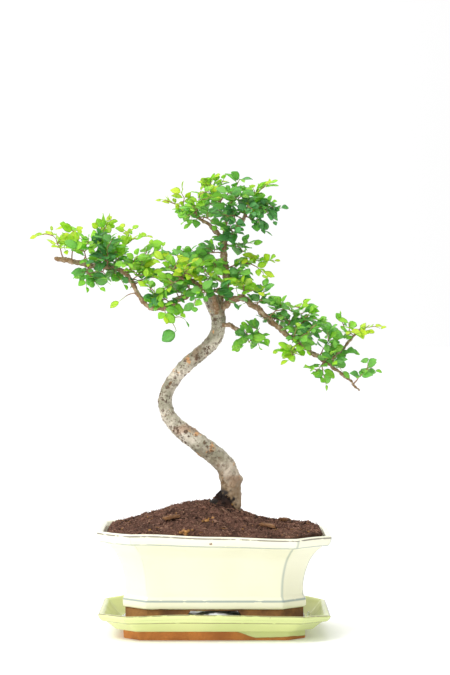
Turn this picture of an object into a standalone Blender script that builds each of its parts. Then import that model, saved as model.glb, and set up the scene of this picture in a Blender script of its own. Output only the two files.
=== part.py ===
"""A small elm bonsai in a glazed pot on its drip tray.

The tree grew as one piece and is one body: roots, an S-shaped trunk, its limbs, and sprays of
thin shoots with their leaves. Its roots sit in a soil block that fills the pot. The pot stands
on a crumpled white liner in a matching drip tray. The origin is the centre of the tray's flat
underside, +Z is up and -Y is the front.
"""

import math
import random

import bmesh
import bpy
import numpy as np

MM = 0.001

# ---------------------------------------------------------------- driving sizes, in millimetres
FIT_GAP = 0.3  # air between two pieces that touch

POT_LENGTH = 205.0  # over the rim, left to right
POT_DEPTH = 155.0  # over the rim, front to back
POT_HEIGHT = 82.6  # foot to lip
POT_WALL = 7.0
POT_FLOOR = 8.0
FOOT_INSET = 24.5  # how far the foot stands in from the rim
FOOT_HEIGHT = 19.6
FOOT_WALL = 9.0
BELT_HEIGHT = 5.0
BELT_PROUD = 2.0
RIM_HEIGHT = 10.0
RIM_CUT = 30.0  # length taken off each corner at the rim
FOOT_CUT = 19.0  # the same at the foot
DRAIN_RADIUS = 7.5
DRAIN_SPACING = 76.0
ARCH_TOP = 44.0  # opening in the foot, front and back
ARCH_BASE = 54.0
SIDE_ARCH_SHARE = 0.6  # width of the side openings, as a share of the front ones
ARCH_HEIGHT = 17.6

TRAY_HEIGHT = 24.7
TRAY_FLOOR = 8.0  # table to the top of the tray's floor
TRAY_MOAT = 6.5  # free floor round the pot's foot
TRAY_FLARE = 17.0  # edge of the floor to the outside of the rim
TRAY_PLINTH_INSET = 21.8
TRAY_PLINTH_HEIGHT = 7.8
TRAY_BAND = 7.6
TRAY_RIM_CUT = 24.0

LINER_THICKNESS = 0.8
LINER_MARGIN = 5.2  # how far the liner runs past the pot's foot
SCREEN_SIDE = 28.0
SCREEN_THICKNESS = 0.8
SOIL_BELOW_LIP = 2.0
SOIL_CROWN = 4.5  # rise of the whole bed above its edge
SOIL_MOUND = 21.0  # further rise round the trunk
MOUND_SHIFT = -19.0  # top of the mound, left of the trunk
COLLAR_X = 13.0  # where the trunk leaves the soil
COLLAR_SINK = 3.0

TREE_HEIGHT = 284.0  # soil to the highest wood
TRUNK_RADIUS = 8.7
LEAF_LENGTH = 12.5
LEAF_WIDTH = 7.6
LEAF_THICKNESS = 0.6
SHOOT_RADIUS = 0.75
SHOOT_PITCH = 5.6  # distance between two leaves along a shoot
CHIP_SIZE = (15.0, 8.0, 2.6)

# ---------------------------------------------------------------- the tree's shape
# Points are (x, y, z, radius). TREE_HEIGHT scales the points and TRUNK_RADIUS the radii.
TRUNK_LINE = (
    (13, 0, 108, 9.6),
    (14.5, 0, 118, 8.9),
    (14.5, 0, 128, 8.7),
    (13.5, -1, 138, 8.9),
    (9.5, -2, 148.5, 8.9),
    (1.5, -4, 157, 8.5),
    (-9.5, -5, 165.5, 8.3),
    (-21.5, -4, 174.5, 7.9),
    (-33, -2, 183.5, 7.2),
    (-40.5, 0, 192.5, 6.5),
    (-44, 2, 202.5, 6.1),
    (-43, 4, 211.5, 5.9),
    (-39.5, 5, 220, 5.8),
    (-32.5, 5, 230, 5.9),
    (-23, 4, 240, 6.1),
    (-13, 2, 248, 6.2),
    (-4, 0, 256, 6.3),
    (1.5, -1, 264.5, 6.2),
    (3.5, -2, 274, 6.1),
    (3, -2, 283, 6.7),
    (0, -2, 291, 7.4),
    (-3.5, -2, 297, 6.2),
)
LIMBS = {
    "leader": (
        (1, 1, 288, 3.2),
        (5, 4, 297, 3.4),
        (9.5, 5, 308, 3.3),
        (10.5, 4, 318, 3.1),
        (9, 3, 329, 3.0),
        (8, 1.5, 340, 2.9),
        (8.5, 0, 350, 2.6),
    ),
    "bough_left": (
        (-1, -3, 292, 3.0),
        (-4, -8, 302, 3.0),
        (-9, -11, 306.5, 2.9),
        (-16, -14, 304.5, 2.8),
        (-24.5, -17, 301, 2.7),
        (-33, -19, 294.5, 2.5),
        (-46, -20, 288, 2.3),
        (-56.5, -19, 290, 2.2),
        (-63.5, -17, 294.5, 2.1),
        (-67.5, -15, 302, 2.0),
        (-73, -12, 311.5, 2.1),
        (-79, -9, 319.5, 2.2),
        (-88, -7, 324, 2.3),
        (-102, -5, 326, 2.4),
        (-115, -5, 327.5, 2.5),
        (-130, -6, 331, 2.4),
        (-142, -7, 332.5, 1.8),
    ),
    "bough_front": (
        (1.5, -6, 283, 2.2),
        (2, -14, 291, 2.2),
        (-2, -22, 300, 2.0),
        (-11, -28, 308, 1.8),
        (-24, -34, 314, 1.5),
        (-37, -38, 318, 1.1),
    ),
    "bough_right": (
        (3, -3, 285, 3.0),
        (10.5, -6, 292.5, 3.1),
        (17, -8, 297, 3.0),
        (24, -9, 297, 2.9),
        (32, -10, 293, 2.8),
        (42, -11, 284.5, 2.7),
        (54, -12, 273.5, 2.7),
        (69, -13, 262, 2.5),
        (85, -15, 250, 2.2),
        (98, -17, 241.5, 1.9),
        (109, -19, 233, 1.5),
        (120, -20, 224, 1.2),
        (128, -21, 216, 0.9),
    ),
    "branch_low": (
        (4, -3, 273, 2.0),
        (12, -9, 274, 2.0),
        (20, -13, 270, 1.9),
        (28, -16, 265, 1.6),
        (34, -18, 260.5, 1.1),
    ),
    "bough_back": (
        (9.5, 5, 308, 2.0),
        (5, 13, 314, 2.0),
        (-5, 22, 320, 1.8),
        (-19, 29, 324.5, 1.5),
        (-35, 34, 327.5, 1.1),
    ),
    "branch_rising": (
        (97, -17, 242, 1.4),
        (105, -14.5, 245.5, 1.4),
        (114, -12, 253, 1.3),
        (121.5, -10, 262, 1.2),
        (129, -8, 270.5, 0.9),
    ),
    "apex_left": (
        (8.5, 0.5, 346, 1.9),
        (3, -3, 354.5, 1.9),
        (-5, -7, 362.5, 1.7),
        (-13, -10, 368, 1.4),
        (-23, -12, 372.5, 1.0),
    ),
    "apex_right": (
        (8.5, 0, 346.5, 2.0),
        (15.5, -4, 354, 2.0),
        (23, -7, 362.5, 1.8),
        (27, -9, 371.5, 1.5),
        (31, -10, 380, 1.1),
    ),
    "apex_back": (
        (8.5, 1, 346.5, 1.9),
        (10, 8, 356, 1.9),
        (9, 13, 367, 1.7),
        (5, 16, 379, 1.4),
        (2, 17, 392, 1.0),
    ),
}
# Surface roots, as offsets (x, y, z, radius) from the collar.
ROOTS = (
    ((-2, -2, 4, 4.2), (-11, -6, 8, 3.6), (-18, -9, 6, 3.1), (-25, -12, -4, 2.6), (-33, -16, -19, 1.9)),
    ((3, 0, -4, 4.6), (17, -5, -11, 3.8), (30, -10, -21, 3.0), (42, -15, -33, 2.0)),
    ((0, 3, -6, 4.6), (-8, 16, -16, 3.6), (-16, 27, -29, 2.6), (-22, 34, -43, 1.8)),
    ((0, -3, -8, 4.6), (7, -15, -18, 3.6), (13, -27, -31, 2.6), (16, -34, -45, 1.8)),
    ((3, 3, -8, 4.4), (17, 12, -17, 3.4), (30, 22, -30, 2.5), (38, 29, -44, 1.7)),
    ((-3, 1, -8, 4.4), (-19, 5, -17, 3.4), (-37, 9, -30, 2.5), (-50, 13, -45, 1.7)),
)
# Sprays: (limb, tips of its shoots). The first shoot starts on the limb, the others on the first.
SPRAYS = (
    ("bough_left", ((-149, -14, 357), (-136, -4, 352))),
    ("bough_left", ((-121, 8, 356), (-113, 20, 346))),
    ("bough_left", ((-110, -24, 349), (-124, -26, 340))),
    ("bough_left", ((-102, 6, 362), (-94, -6, 366))),
    ("bough_left", ((-94, -28, 343), (-104, -30, 330))),
    ("bough_left", ((-113, -18, 308), (-101, -26, 307))),
    ("bough_left", ((-99, 14, 313), (-118, 14, 316))),
    ("bough_left", ((-86, 22, 340), (-96, 32, 334))),
    ("bough_left", ((-74, 2, 359), (-62, -10, 352))),
    ("bough_left", ((-67, -34, 334), (-78, -36, 326))),
    ("bough_left", ((-56, 14, 334), (-66, 24, 324))),
    ("bough_left", ((-46, -12, 342), (-56, 0, 345))),
    ("bough_left", ((-52, -44, 304), (-60, -36, 315))),
    ("bough_left", ((-42, -48, 291), (-30, -42, 284))),
    ("bough_left", ((-33, -26, 268), (-26, -30, 279))),
    ("bough_left", ((-83, -22, 295),)),
    ("bough_front", ((-26, -50, 322), (-14, -48, 312))),
    ("bough_front", ((-46, -34, 328), (-32, -24, 331))),
    ("bough_front", ((4, -38, 302), (16, -34, 293))),
    ("bough_back", ((-30, 20, 341), (-48, 32, 338))),
    ("bough_back", ((-6, 38, 330), (8, 36, 320))),
    ("leader", ((-14, 2, 334), (-10, 12, 343))),
    ("leader", ((53, -2, 331), (44, -12, 318))),
    ("bough_right", ((26, -28, 309), (38, -26, 303))),
    ("bough_right", ((60, -24, 293), (72, -20, 286))),
    ("bough_right", ((78, -6, 291), (88, 4, 288))),
    ("bough_right", ((86, -34, 272), (74, -36, 262))),
    ("bough_right", ((96, 4, 276), (106, 14, 266))),
    ("bough_right", ((66, -26, 244), (56, -22, 252))),
    ("bough_right", ((88, -34, 231), (98, -28, 222))),
    ("branch_rising", ((134, -10, 272), (118, -22, 268))),
    ("bough_right", ((143, -24, 235), (136, -30, 226))),
    ("branch_low", ((44, -22, 263), (40, -12, 254))),
    ("apex_left", ((-39, -14, 382), (-29, -18, 393))),
    ("apex_left", ((-16, -34, 377), (-26, -30, 366))),
    ("apex_right", ((44, -12, 396), (34, -22, 394))),
    ("apex_right", ((58, -10, 376), (52, -20, 366))),
    ("apex_right", ((30, -36, 376), (40, -30, 362))),
    ("apex_back", ((-8, 10, 399), (8, 2, 403))),
)
LONGEST_LEAF_RUN = 5  # most leaves along one shoot, besides the one at its end
CHIPS = ((-38, -38, 25), (47, -40, -35), (62, 8, 70))  # x, y and turn of each wood chip
SEED = 41


# ---------------------------------------------------------------- meshes and finishes
def clear_scene():
    for item in list(bpy.data.objects):
        bpy.data.objects.remove(item, do_unlink=True)


def finish(name, colour, roughness, specular=0.5):
    """A Principled material with one flat colour."""
    material = bpy.data.materials.new(name)
    material.use_nodes = True
    shader = material.node_tree.nodes["Principled BSDF"]
    shader.inputs["Base Color"].default_value = (*colour, 1.0)
    shader.inputs["Roughness"].default_value = roughness
    shader.inputs["Specular IOR Level"].default_value = specular
    return material


def solid(name, points, faces, material=None):
    """A mesh object in the scene from points in millimetres, its faces turned outwards."""
    mesh = bpy.data.meshes.new(name)
    mesh.from_pydata([tuple(p) for p in np.asarray(points, float) * MM], [], faces)
    work = bmesh.new()
    work.from_mesh(mesh)
    bmesh.ops.recalc_face_normals(work, faces=work.faces)
    work.to_mesh(mesh)
    work.free()
    item = bpy.data.objects.new(name, mesh)
    bpy.context.scene.collection.objects.link(item)
    if material:
        mesh.materials.append(material)
    return item


def loft(name, rings, material=None):
    """A closed skin through rings of equal size, its first and last ring filled."""
    count = len(rings[0])
    faces = [tuple(range(count - 1, -1, -1))]
    for level in range(len(rings) - 1):
        low = level * count
        for i in range(count):
            j = (i + 1) % count
            faces.append((low + i, low + j, low + count + j, low + count + i))
    last = (len(rings) - 1) * count
    faces.append(tuple(range(last, last + count)))
    return solid(name, np.concatenate(rings), faces, material)


def carve(item, cutters, operation="DIFFERENCE", crossing=False):
    """Applies one exact Boolean per cutter and removes the cutters. crossing: a mesh meets itself."""
    for cutter in cutters:
        step = item.modifiers.new("carve", "BOOLEAN")
        step.operation = operation
        step.solver = "EXACT"
        step.use_self = crossing
        step.object = cutter
        graph = bpy.context.evaluated_depsgraph_get()
        made = bpy.data.meshes.new_from_object(item.evaluated_get(graph))
        item.modifiers.clear()
        old = item.data
        item.data = made
        made.name = item.name
        bpy.data.meshes.remove(old)
        bpy.data.objects.remove(cutter, do_unlink=True)
    return item


# ---------------------------------------------------------------- outlines with cut corners
def outline(half_x, half_y, cut, long_steps=1, short_steps=1, cut_steps=1):
    """Points round a rectangle whose corners are cut off, anticlockwise from the front left."""
    corners = [
        (-half_x + cut, -half_y, long_steps),
        (half_x - cut, -half_y, cut_steps),
        (half_x, -half_y + cut, short_steps),
        (half_x, half_y - cut, cut_steps),
        (half_x - cut, half_y, long_steps),
        (-half_x + cut, half_y, cut_steps),
        (-half_x, half_y - cut, short_steps),
        (-half_x, -half_y + cut, cut_steps),
    ]
    points = []
    for i, (x, y, steps) in enumerate(corners):
        nx, ny, _ = corners[(i + 1) % len(corners)]
        for k in range(steps):
            t = k / steps
            points.append((x + (nx - x) * t, y + (ny - y) * t))
    return np.array(points)


def flat_ring(points, height):
    return np.column_stack([points, np.full(len(points), float(height))])


# ---------------------------------------------------------------- the pot
def pot_base():
    """Height of the pot's foot above the table."""
    return TRAY_FLOOR + LINER_THICKNESS + 2 * FIT_GAP


def body_rows():
    """(height above the foot, inset) up the outside of the pot between belt and rim."""
    low = FOOT_HEIGHT + BELT_HEIGHT
    rise = POT_HEIGHT - RIM_HEIGHT - low
    shape = ((0.0, 1.01), (0.3, 0.99), (0.52, 0.905), (0.75, 0.735), (0.91, 0.51), (1.0, 0.33))
    return [(low + rise * share, FOOT_INSET * inset) for share, inset in shape]


def pot_inner_rows():
    """(height above the foot, inset) down the inside of the pot, from the lip to the floor."""
    floor = FOOT_HEIGHT + POT_FLOOR
    rows = [(POT_HEIGHT, 4.6), (POT_HEIGHT - 0.8, 5.8), (POT_HEIGHT - 4.0, 6.8)]
    for height, inset in reversed(body_rows()[1:-1]):
        if height > floor + 4.0:
            rows.append((height, inset + POT_WALL))
    rows.append((floor + 2.0, FOOT_INSET + POT_WALL + 0.3))
    rows.append((floor, FOOT_INSET + POT_WALL + 1.8))
    return rows


def pot_cut(inset):
    """Corner cut of the pot at a given inset from its rim."""
    return RIM_CUT - (RIM_CUT - FOOT_CUT) * inset / FOOT_INSET


def pot_ring(height, inset, gap=0.0, steps=(1, 1, 1)):
    """One level of the pot as points above the table. gap shrinks it evenly."""
    grown = inset + gap
    points = outline(POT_LENGTH / 2 - grown, POT_DEPTH / 2 - grown, pot_cut(grown), *steps)
    return flat_ring(points, pot_base() + height)


def box_frustum(name, low, high, z0, z1, along):
    """A trapezoid bar that runs along x or y, low wide at z0 and high wide at z1."""
    reach = POT_LENGTH
    points = []
    for end in (-reach, reach):
        for half, z in ((-low / 2, z0), (low / 2, z0), (high / 2, z1), (-high / 2, z1)):
            points.append((half, end, z) if along == "y" else (end, half, z))
    faces = [(0, 1, 2, 3), (7, 6, 5, 4)]
    faces += [(i, (i + 1) % 4, (i + 1) % 4 + 4, i + 4) for i in range(4)]
    return solid(name, points, faces)


def disc_ring(x, y, z, radius, count):
    turn = np.arange(count) * 2 * math.pi / count
    ring = [x + radius * np.cos(turn), y + radius * np.sin(turn), np.full(count, float(z))]
    return np.column_stack(ring)


def build_pot():
    glaze = finish("cream_glaze", (0.80, 0.76, 0.62), 0.12)
    belt = FOOT_INSET - BELT_PROUD
    outside = [(0.0, FOOT_INSET + 0.8), (0.8, FOOT_INSET), (FOOT_HEIGHT, FOOT_INSET)]
    outside += [(FOOT_HEIGHT + 0.4, belt + 0.3), (FOOT_HEIGHT + 1.4, belt)]
    outside += [(FOOT_HEIGHT + BELT_HEIGHT - 1.2, belt), (FOOT_HEIGHT + BELT_HEIGHT - 0.3, belt + 0.6)]
    outside += body_rows()
    top = POT_HEIGHT
    outside += [(top - 9.4, 3.7), (top - 8.6, 2.5), (top - 3.2, 0.5), (top - 1.7, 0.0)]
    outside += [(top - 0.6, 0.4), (top, 1.6)]
    rings = [pot_ring(height, inset) for height, inset in outside + pot_inner_rows()]
    pot = loft("pot", rings, glaze)
    base = pot_base()
    inner_x = POT_LENGTH / 2 - FOOT_INSET - FOOT_WALL
    inner_y = POT_DEPTH / 2 - FOOT_INSET - FOOT_WALL
    hollow = outline(inner_x, inner_y, FOOT_CUT - 0.586 * FOOT_WALL)
    cutters = [loft("recess", [flat_ring(hollow, base - 5), flat_ring(hollow, base + FOOT_HEIGHT)])]
    low = base - 5
    high = base + ARCH_HEIGHT
    cutters.append(box_frustum("arch_front", ARCH_BASE, ARCH_TOP, low, high, "y"))
    share = SIDE_ARCH_SHARE
    cutters.append(box_frustum("arch_side", ARCH_BASE * share, ARCH_TOP * share, low, high, "x"))
    for side in (-1, 1):
        x = side * DRAIN_SPACING / 2
        ends = (base, base + FOOT_HEIGHT + POT_FLOOR + 5)
        cutters.append(loft("drain", [disc_ring(x, 0, z, DRAIN_RADIUS, 20) for z in ends]))
    return carve(pot, cutters)


# ---------------------------------------------------------------- the drip tray
def foot_half():
    """Half length and half depth of the pot's foot."""
    return POT_LENGTH / 2 - FOOT_INSET, POT_DEPTH / 2 - FOOT_INSET


def tray_ring(height, inset):
    """One level of the tray, inset from its rim. Its size follows the pot's foot."""
    reach = TRAY_MOAT + TRAY_FLARE - inset
    half_x, half_y = foot_half()
    cut = TRAY_RIM_CUT - 0.42 * inset
    return flat_ring(outline(half_x + reach, half_y + reach, cut), height)


def build_tray():
    glaze = finish("pale_green_glaze", (0.66, 0.68, 0.42), 0.14)
    plinth = TRAY_PLINTH_INSET
    shelf = TRAY_PLINTH_HEIGHT
    band = TRAY_HEIGHT - TRAY_BAND
    outside = [(0.0, plinth + 0.6), (0.6, plinth), (shelf - 0.4, plinth), (shelf, plinth - 0.5)]
    outside += [(shelf + 0.1, 15.6), (shelf + 1.0, 14.0), (0.5 * (shelf + band), 11.4)]
    outside += [(band - 0.5, 8.4), (band, 5.4), (band + 0.6, 3.8), (band + 0.45 * TRAY_BAND, 1.4)]
    outside += [(TRAY_HEIGHT - 1.4, 0.1), (TRAY_HEIGHT - 0.4, 0.4)]
    drop = TRAY_HEIGHT - TRAY_FLOOR
    inside = [(TRAY_HEIGHT, 1.6), (TRAY_HEIGHT, 3.4), (TRAY_HEIGHT - 0.8, 4.6)]
    inside += [(TRAY_FLOOR + 0.72 * drop, 6.4), (TRAY_FLOOR + 0.36 * drop, 11.0)]
    inside += [(TRAY_FLOOR + 0.08 * drop, 15.0), (TRAY_FLOOR, TRAY_FLARE)]
    return loft("drip_tray", [tray_ring(z, inset) for z, inset in outside + inside], glaze)


# ---------------------------------------------------------------- the liner between pot and tray
def liner_lift(x, y, past_foot):
    """How far the crumpled sheet stands off the tray's floor. Under the foot it lies flat."""
    half_x, half_y = foot_half()
    lift = 11.5 * np.exp(-((x / 9.5) ** 2) - ((y + half_y - 5) / 7.5) ** 2)
    moat = np.clip((past_foot - 2.0) / (LINER_MARGIN - 2.0), 0, 1)
    right = np.exp(-(((y + 0.5 * half_y) / 15) ** 2)) * (x > half_x * 0.6)
    ripple = 0.5 + 0.5 * np.sin(0.16 * x + 1.3) * np.cos(0.19 * y + 0.4)
    lift += moat * (11.0 * right + 2.6 * ripple)
    inside = np.clip((-past_foot - FOOT_WALL - 2.0) / 8.0, 0, 1)
    waves = 4.5 + 3.2 * np.sin(0.13 * x + 0.7) + 2.4 * np.cos(0.21 * y - 0.12 * x)
    return lift + inside * np.clip(waves, 0.4, 10)


def build_liner():
    paper = finish("white_liner", (0.93, 0.94, 0.94), 0.75, 0.3)
    half_x, half_y = foot_half()
    offsets = [LINER_MARGIN, 3.3, 1.5, -0.5 * FOOT_WALL, -FOOT_WALL - 1.6, -18.0, -28.0, -40.0]
    offsets = [e for e in offsets if half_y + e > 8.0]
    rings = []
    for e in offsets:
        cut = FOOT_CUT + 0.45 * min(e, 0.0)
        flat = outline(half_x + e, half_y + e, max(cut, 3.0), 8, 6, 2)
        z = TRAY_FLOOR + FIT_GAP + liner_lift(flat[:, 0], flat[:, 1], e)
        rings.append(np.column_stack([flat, z]))
    under = list(rings)
    over = [ring + np.array([0, 0, LINER_THICKNESS]) for ring in reversed(rings)]
    count = len(rings[0])
    faces = []
    stack = over + under
    levels = len(stack)
    for level in range(levels):
        a = level * count
        b = ((level + 1) % levels) * count
        if level == len(over) * 2 - 1:
            continue
        for i in range(count):
            j = (i + 1) % count
            # Both sides split along the same line, so the sheet is as thick in every triangle.
            if level < len(over):
                faces += [(a + i, a + j, b + j), (a + i, b + j, b + i)]
            else:
                faces += [(a + i, a + j, b + i), (a + j, b + j, b + i)]
    middle_low = np.append(rings[-1][:, :2].mean(0), rings[-1][:, 2].mean())
    middle_high = middle_low + np.array([0, 0, LINER_THICKNESS])
    points = np.concatenate(stack + [middle_high[None], middle_low[None]])
    top = levels * count
    last = (levels - 1) * count
    for i in range(count):
        j = (i + 1) % count
        faces.append((top, i, j))
        faces.append((top + 1, last + j, last + i))
    return solid("liner", points, faces, paper)


# ---------------------------------------------------------------- what fills the pot
def screen_plate(name, x, material=None, grow=0.0):
    """A mesh screen of square holes over one drainage hole. Grown, it is the plain cutter."""
    z0 = pot_base() + FOOT_HEIGHT + POT_FLOOR + FIT_GAP - grow
    z1 = z0 + SCREEN_THICKNESS + 2 * grow
    cells = 1 if grow else 7
    side = SCREEN_SIDE + 2 * grow
    ticks = np.linspace(-side / 2, side / 2, cells + 1)
    index = {}
    points = []
    for level, z in enumerate((z0, z1)):
        for j in range(cells + 1):
            for i in range(cells + 1):
                index[i, j, level] = len(points)
                points.append((x + ticks[i], ticks[j], z))
    kept = {(i, j) for i in range(cells) for j in range(cells) if not (i % 2 and j % 2)}
    faces = []
    for i, j in sorted(kept):
        for level, order in ((1, (0, 1, 2, 3)), (0, (3, 2, 1, 0))):
            corners = ((i, j), (i + 1, j), (i + 1, j + 1), (i, j + 1))
            faces.append(tuple(index[corners[k][0], corners[k][1], level] for k in order))
        sides = (((i, j), (i + 1, j), (0, -1)), ((i + 1, j), (i + 1, j + 1), (1, 0)))
        sides += (((i + 1, j + 1), (i, j + 1), (0, 1)), ((i, j + 1), (i, j), (-1, 0)))
        for a, b, (di, dj) in sides:
            if (i + di, j + dj) not in kept:
                faces.append((index[*a, 0], index[*b, 0], index[*b, 1], index[*a, 1]))
    return solid(name, points, faces, material)


def fill_rows(low, high):
    """(height, inset) rows of the pot's inside between two heights above its foot, upwards."""
    rows = sorted(pot_inner_rows())
    heights = [row[0] for row in rows]
    insets = [row[1] for row in rows]
    inner = [row for row in rows if low + 0.2 < row[0] < high - 0.2]
    ends = [(z, float(np.interp(z, heights, insets))) for z in (low, high)]
    return [ends[0], *inner, ends[1]]


def soil_height(x, y):
    """Top of the soil above the table."""
    edge = pot_base() + POT_HEIGHT - SOIL_BELOW_LIP
    half_x = POT_LENGTH / 2 - 6.0
    half_y = POT_DEPTH / 2 - 6.0
    bed = (1 - np.clip(np.abs(x) / half_x, 0, 1) ** 4) * (1 - np.clip(np.abs(y) / half_y, 0, 1) ** 2.6)
    from_top = x - COLLAR_X - MOUND_SHIFT
    wide = np.where(from_top < 0, 0.30, 0.195) * POT_LENGTH
    mound = np.exp(-((from_top / wide) ** 2) - (y / (0.32 * POT_DEPTH)) ** 2)
    fade = np.clip(4 * bed, 0, 1)
    lumps = 0.9 * np.sin(0.23 * x + 1) * np.sin(0.27 * y + 2) + 0.6 * np.sin(0.41 * x - 0.33 * y)
    return edge + SOIL_CROWN * bed**0.7 + SOIL_MOUND * mound * fade**0.6 + lumps * fade


def build_soil(root_cutters):
    earth = finish("potting_soil", (0.10, 0.06, 0.035), 0.95, 0.2)
    low = FOOT_HEIGHT + POT_FLOOR + FIT_GAP
    steps = (8, 6, 2)
    rows = fill_rows(low, POT_HEIGHT - SOIL_BELOW_LIP)
    rings = [pot_ring(z, inset, FIT_GAP, steps) for z, inset in rows]
    edge = rings[-1][:, :2]
    centre = np.array([COLLAR_X, 0.0])
    for share in (0.93, 0.82, 0.68, 0.53, 0.38, 0.24, 0.1):
        flat = centre + (edge - centre) * share
        rings.append(np.column_stack([flat, soil_height(flat[:, 0], flat[:, 1])]))
    soil = loft("soil", rings, earth)
    half = DRAIN_SPACING / 2
    pockets = [screen_plate("pocket", x, None, FIT_GAP) for x in (-half, half)]
    return carve(soil, root_cutters + pockets)


def build_chips():
    """A few flat pieces of wood bark lying loose on the soil."""
    long, wide, thick = (value / 2 for value in CHIP_SIZE)
    for number, (x, y, turn) in enumerate(CHIPS, 1):
        amber = finish(f"wood_chip_{number}", (0.62 - 0.06 * number, 0.33, 0.12), 0.8)
        angle = math.radians(turn)
        along = np.array([math.cos(angle), math.sin(angle)])
        across = np.array([-along[1], along[0]])
        shape = ((-1, -0.5), (-0.6, -1), (0.7, -0.8), (1, 0.1), (0.5, 1), (-0.7, 0.7))
        flat = np.array([along * long * a + across * wide * b for a, b in shape])
        here, east, north = soil_height(np.array([x, x + 6.0, x]), np.array([y, y, y + 6.0]))
        slope = np.array([east - here, north - here]) / 6.0
        reach = np.vstack([flat * share for share in (0.0, 0.35, 0.7, 1.0, 1.15)])
        over = soil_height(x + reach[:, 0], y + reach[:, 1]) - here - reach @ slope
        low = here + float(over.max()) + FIT_GAP + 0.3
        rings = []
        for level in (low, low + 2 * thick):
            rings.append(np.column_stack([flat + (x, y), level + flat @ slope]))
        loft(f"wood_chip_{number}", rings, amber)


# ---------------------------------------------------------------- wood
def collar():
    """Where the trunk meets the soil."""
    height = float(soil_height(np.array([COLLAR_X]), np.array([0.0]))[0])
    return np.array([COLLAR_X, 0.0, height - COLLAR_SINK])


def placed(line):
    """A line of the tree's shape, moved to the collar and scaled to the tree's height."""
    line = np.array(line, float)
    start = np.array(TRUNK_LINE[0][:3], float)
    top = max(point[2] for limb in LIMBS.values() for point in limb)
    size = TREE_HEIGHT / (top - start[2])
    points = collar() + (line[:, :3] - start) * size
    girth = TRUNK_RADIUS / TRUNK_LINE[2][3]
    return np.column_stack([points, line[:, 3] * girth])


def smoothed(line, per_span):
    """More points along a line, on a curve through the ones given."""
    padded = np.vstack([2 * line[0] - line[1], line, 2 * line[-1] - line[-2]])
    out = []
    for k in range(1, len(padded) - 2):
        a, b, c, d = padded[k - 1 : k + 3]
        for i in range(per_span):
            t = i / per_span
            curve = 2 * b + (c - a) * t + (2 * a - 5 * b + 4 * c - d) * t**2
            out.append(0.5 * (curve + (3 * b - a - 3 * c + d) * t**3))
    return np.vstack(out + [padded[-2]])


def directions(points):
    ahead = np.gradient(points, axis=0)
    return ahead / np.linalg.norm(ahead, axis=1, keepdims=True)


def tube_rings(line, sides, grow=0.0, lobes=None):
    """Rings round a line of (x, y, z, radius), turned from one to the next without twist."""
    points = line[:, :3]
    ahead = directions(points)
    side = np.cross(ahead[0], (0.3, 1.0, 0.1))
    rings = []
    turn = np.arange(sides) * 2 * math.pi / sides
    for k, (centre, along) in enumerate(zip(points, ahead)):
        side = side - along * side.dot(along)
        side = side / np.linalg.norm(side)
        other = np.cross(along, side)
        radius = line[k, 3] * (1 + (lobes(turn, k) if lobes else 0)) + grow
        rings.append(
            centre
            + np.outer(np.cos(turn) * radius, side)
            + np.outer(np.sin(turn) * radius, other)
        )
    return rings


def domed(line, grow=0.0):
    """Rounds the far end of a line with one smaller ring a little further on."""
    along = line[-1, :3] - line[-2, :3]
    along = along / np.linalg.norm(along)
    radius = line[-1, 3]
    end = np.append(line[-1, :3] + along * (0.45 * radius + grow), radius * 0.55)
    return np.vstack([line, end])


def tube(name, line, sides, material=None, grow=0.0, lobes=None):
    return loft(name, tube_rings(domed(line, grow), sides, grow, lobes), material)


def trunk_line():
    """The trunk with its buried root plug below the collar."""
    line = placed(TRUNK_LINE)
    foot = collar()
    plug = [(0, -46, 0.35), (0, -38, 0.95), (0, -26, 1.45), (0, -14, 1.62), (0, -6, 1.36)]
    below = [(foot[0] + x, 0.0, foot[2] + z, TRUNK_RADIUS * r) for x, z, r in plug]
    return np.vstack([below, line])


def flare(turn, level):
    """Lobes of the root flare, strongest in the soil and gone a little up the trunk."""
    strength = (0.1, 0.16, 0.2, 0.2, 0.17, 0.13, 0.08, 0.04)
    if level >= len(strength):
        return 0 * turn
    return strength[level] * (np.cos(3 * turn + 0.6) + 0.45 * np.cos(5 * turn + 2.0))


def root_pieces(grow):
    """The roots as separate bodies that run into the trunk's foot."""
    pieces = []
    for root in ROOTS:
        line = np.array(root, float)
        line[:, :3] += collar()
        pieces.append(tube("root", line, 8, None, grow))
    return pieces


def root_ball_cutters():
    """The trunk's foot and its roots, grown by the fit, to cut their room out of the soil."""
    return [tube("plug", trunk_line()[:9], 14, None, FIT_GAP, flare), *root_pieces(FIT_GAP)]


def wood_lines():
    """Every limb as a smooth line of (x, y, z, radius), the trunk first."""
    lines = {"trunk": trunk_line()}
    for name, line in LIMBS.items():
        lines[name] = smoothed(placed(line), 2)
    return lines


def build_wood(lines, material):
    """Roots, trunk and limbs, each limb starting inside the wood it grows from."""
    wood = tube("bonsai_tree", lines["trunk"], 14, material, 0.0, flare)
    limbs = [tube(name, lines[name], 7) for name in LIMBS]
    return carve(wood, root_pieces(0.0) + limbs, "UNION")


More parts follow.
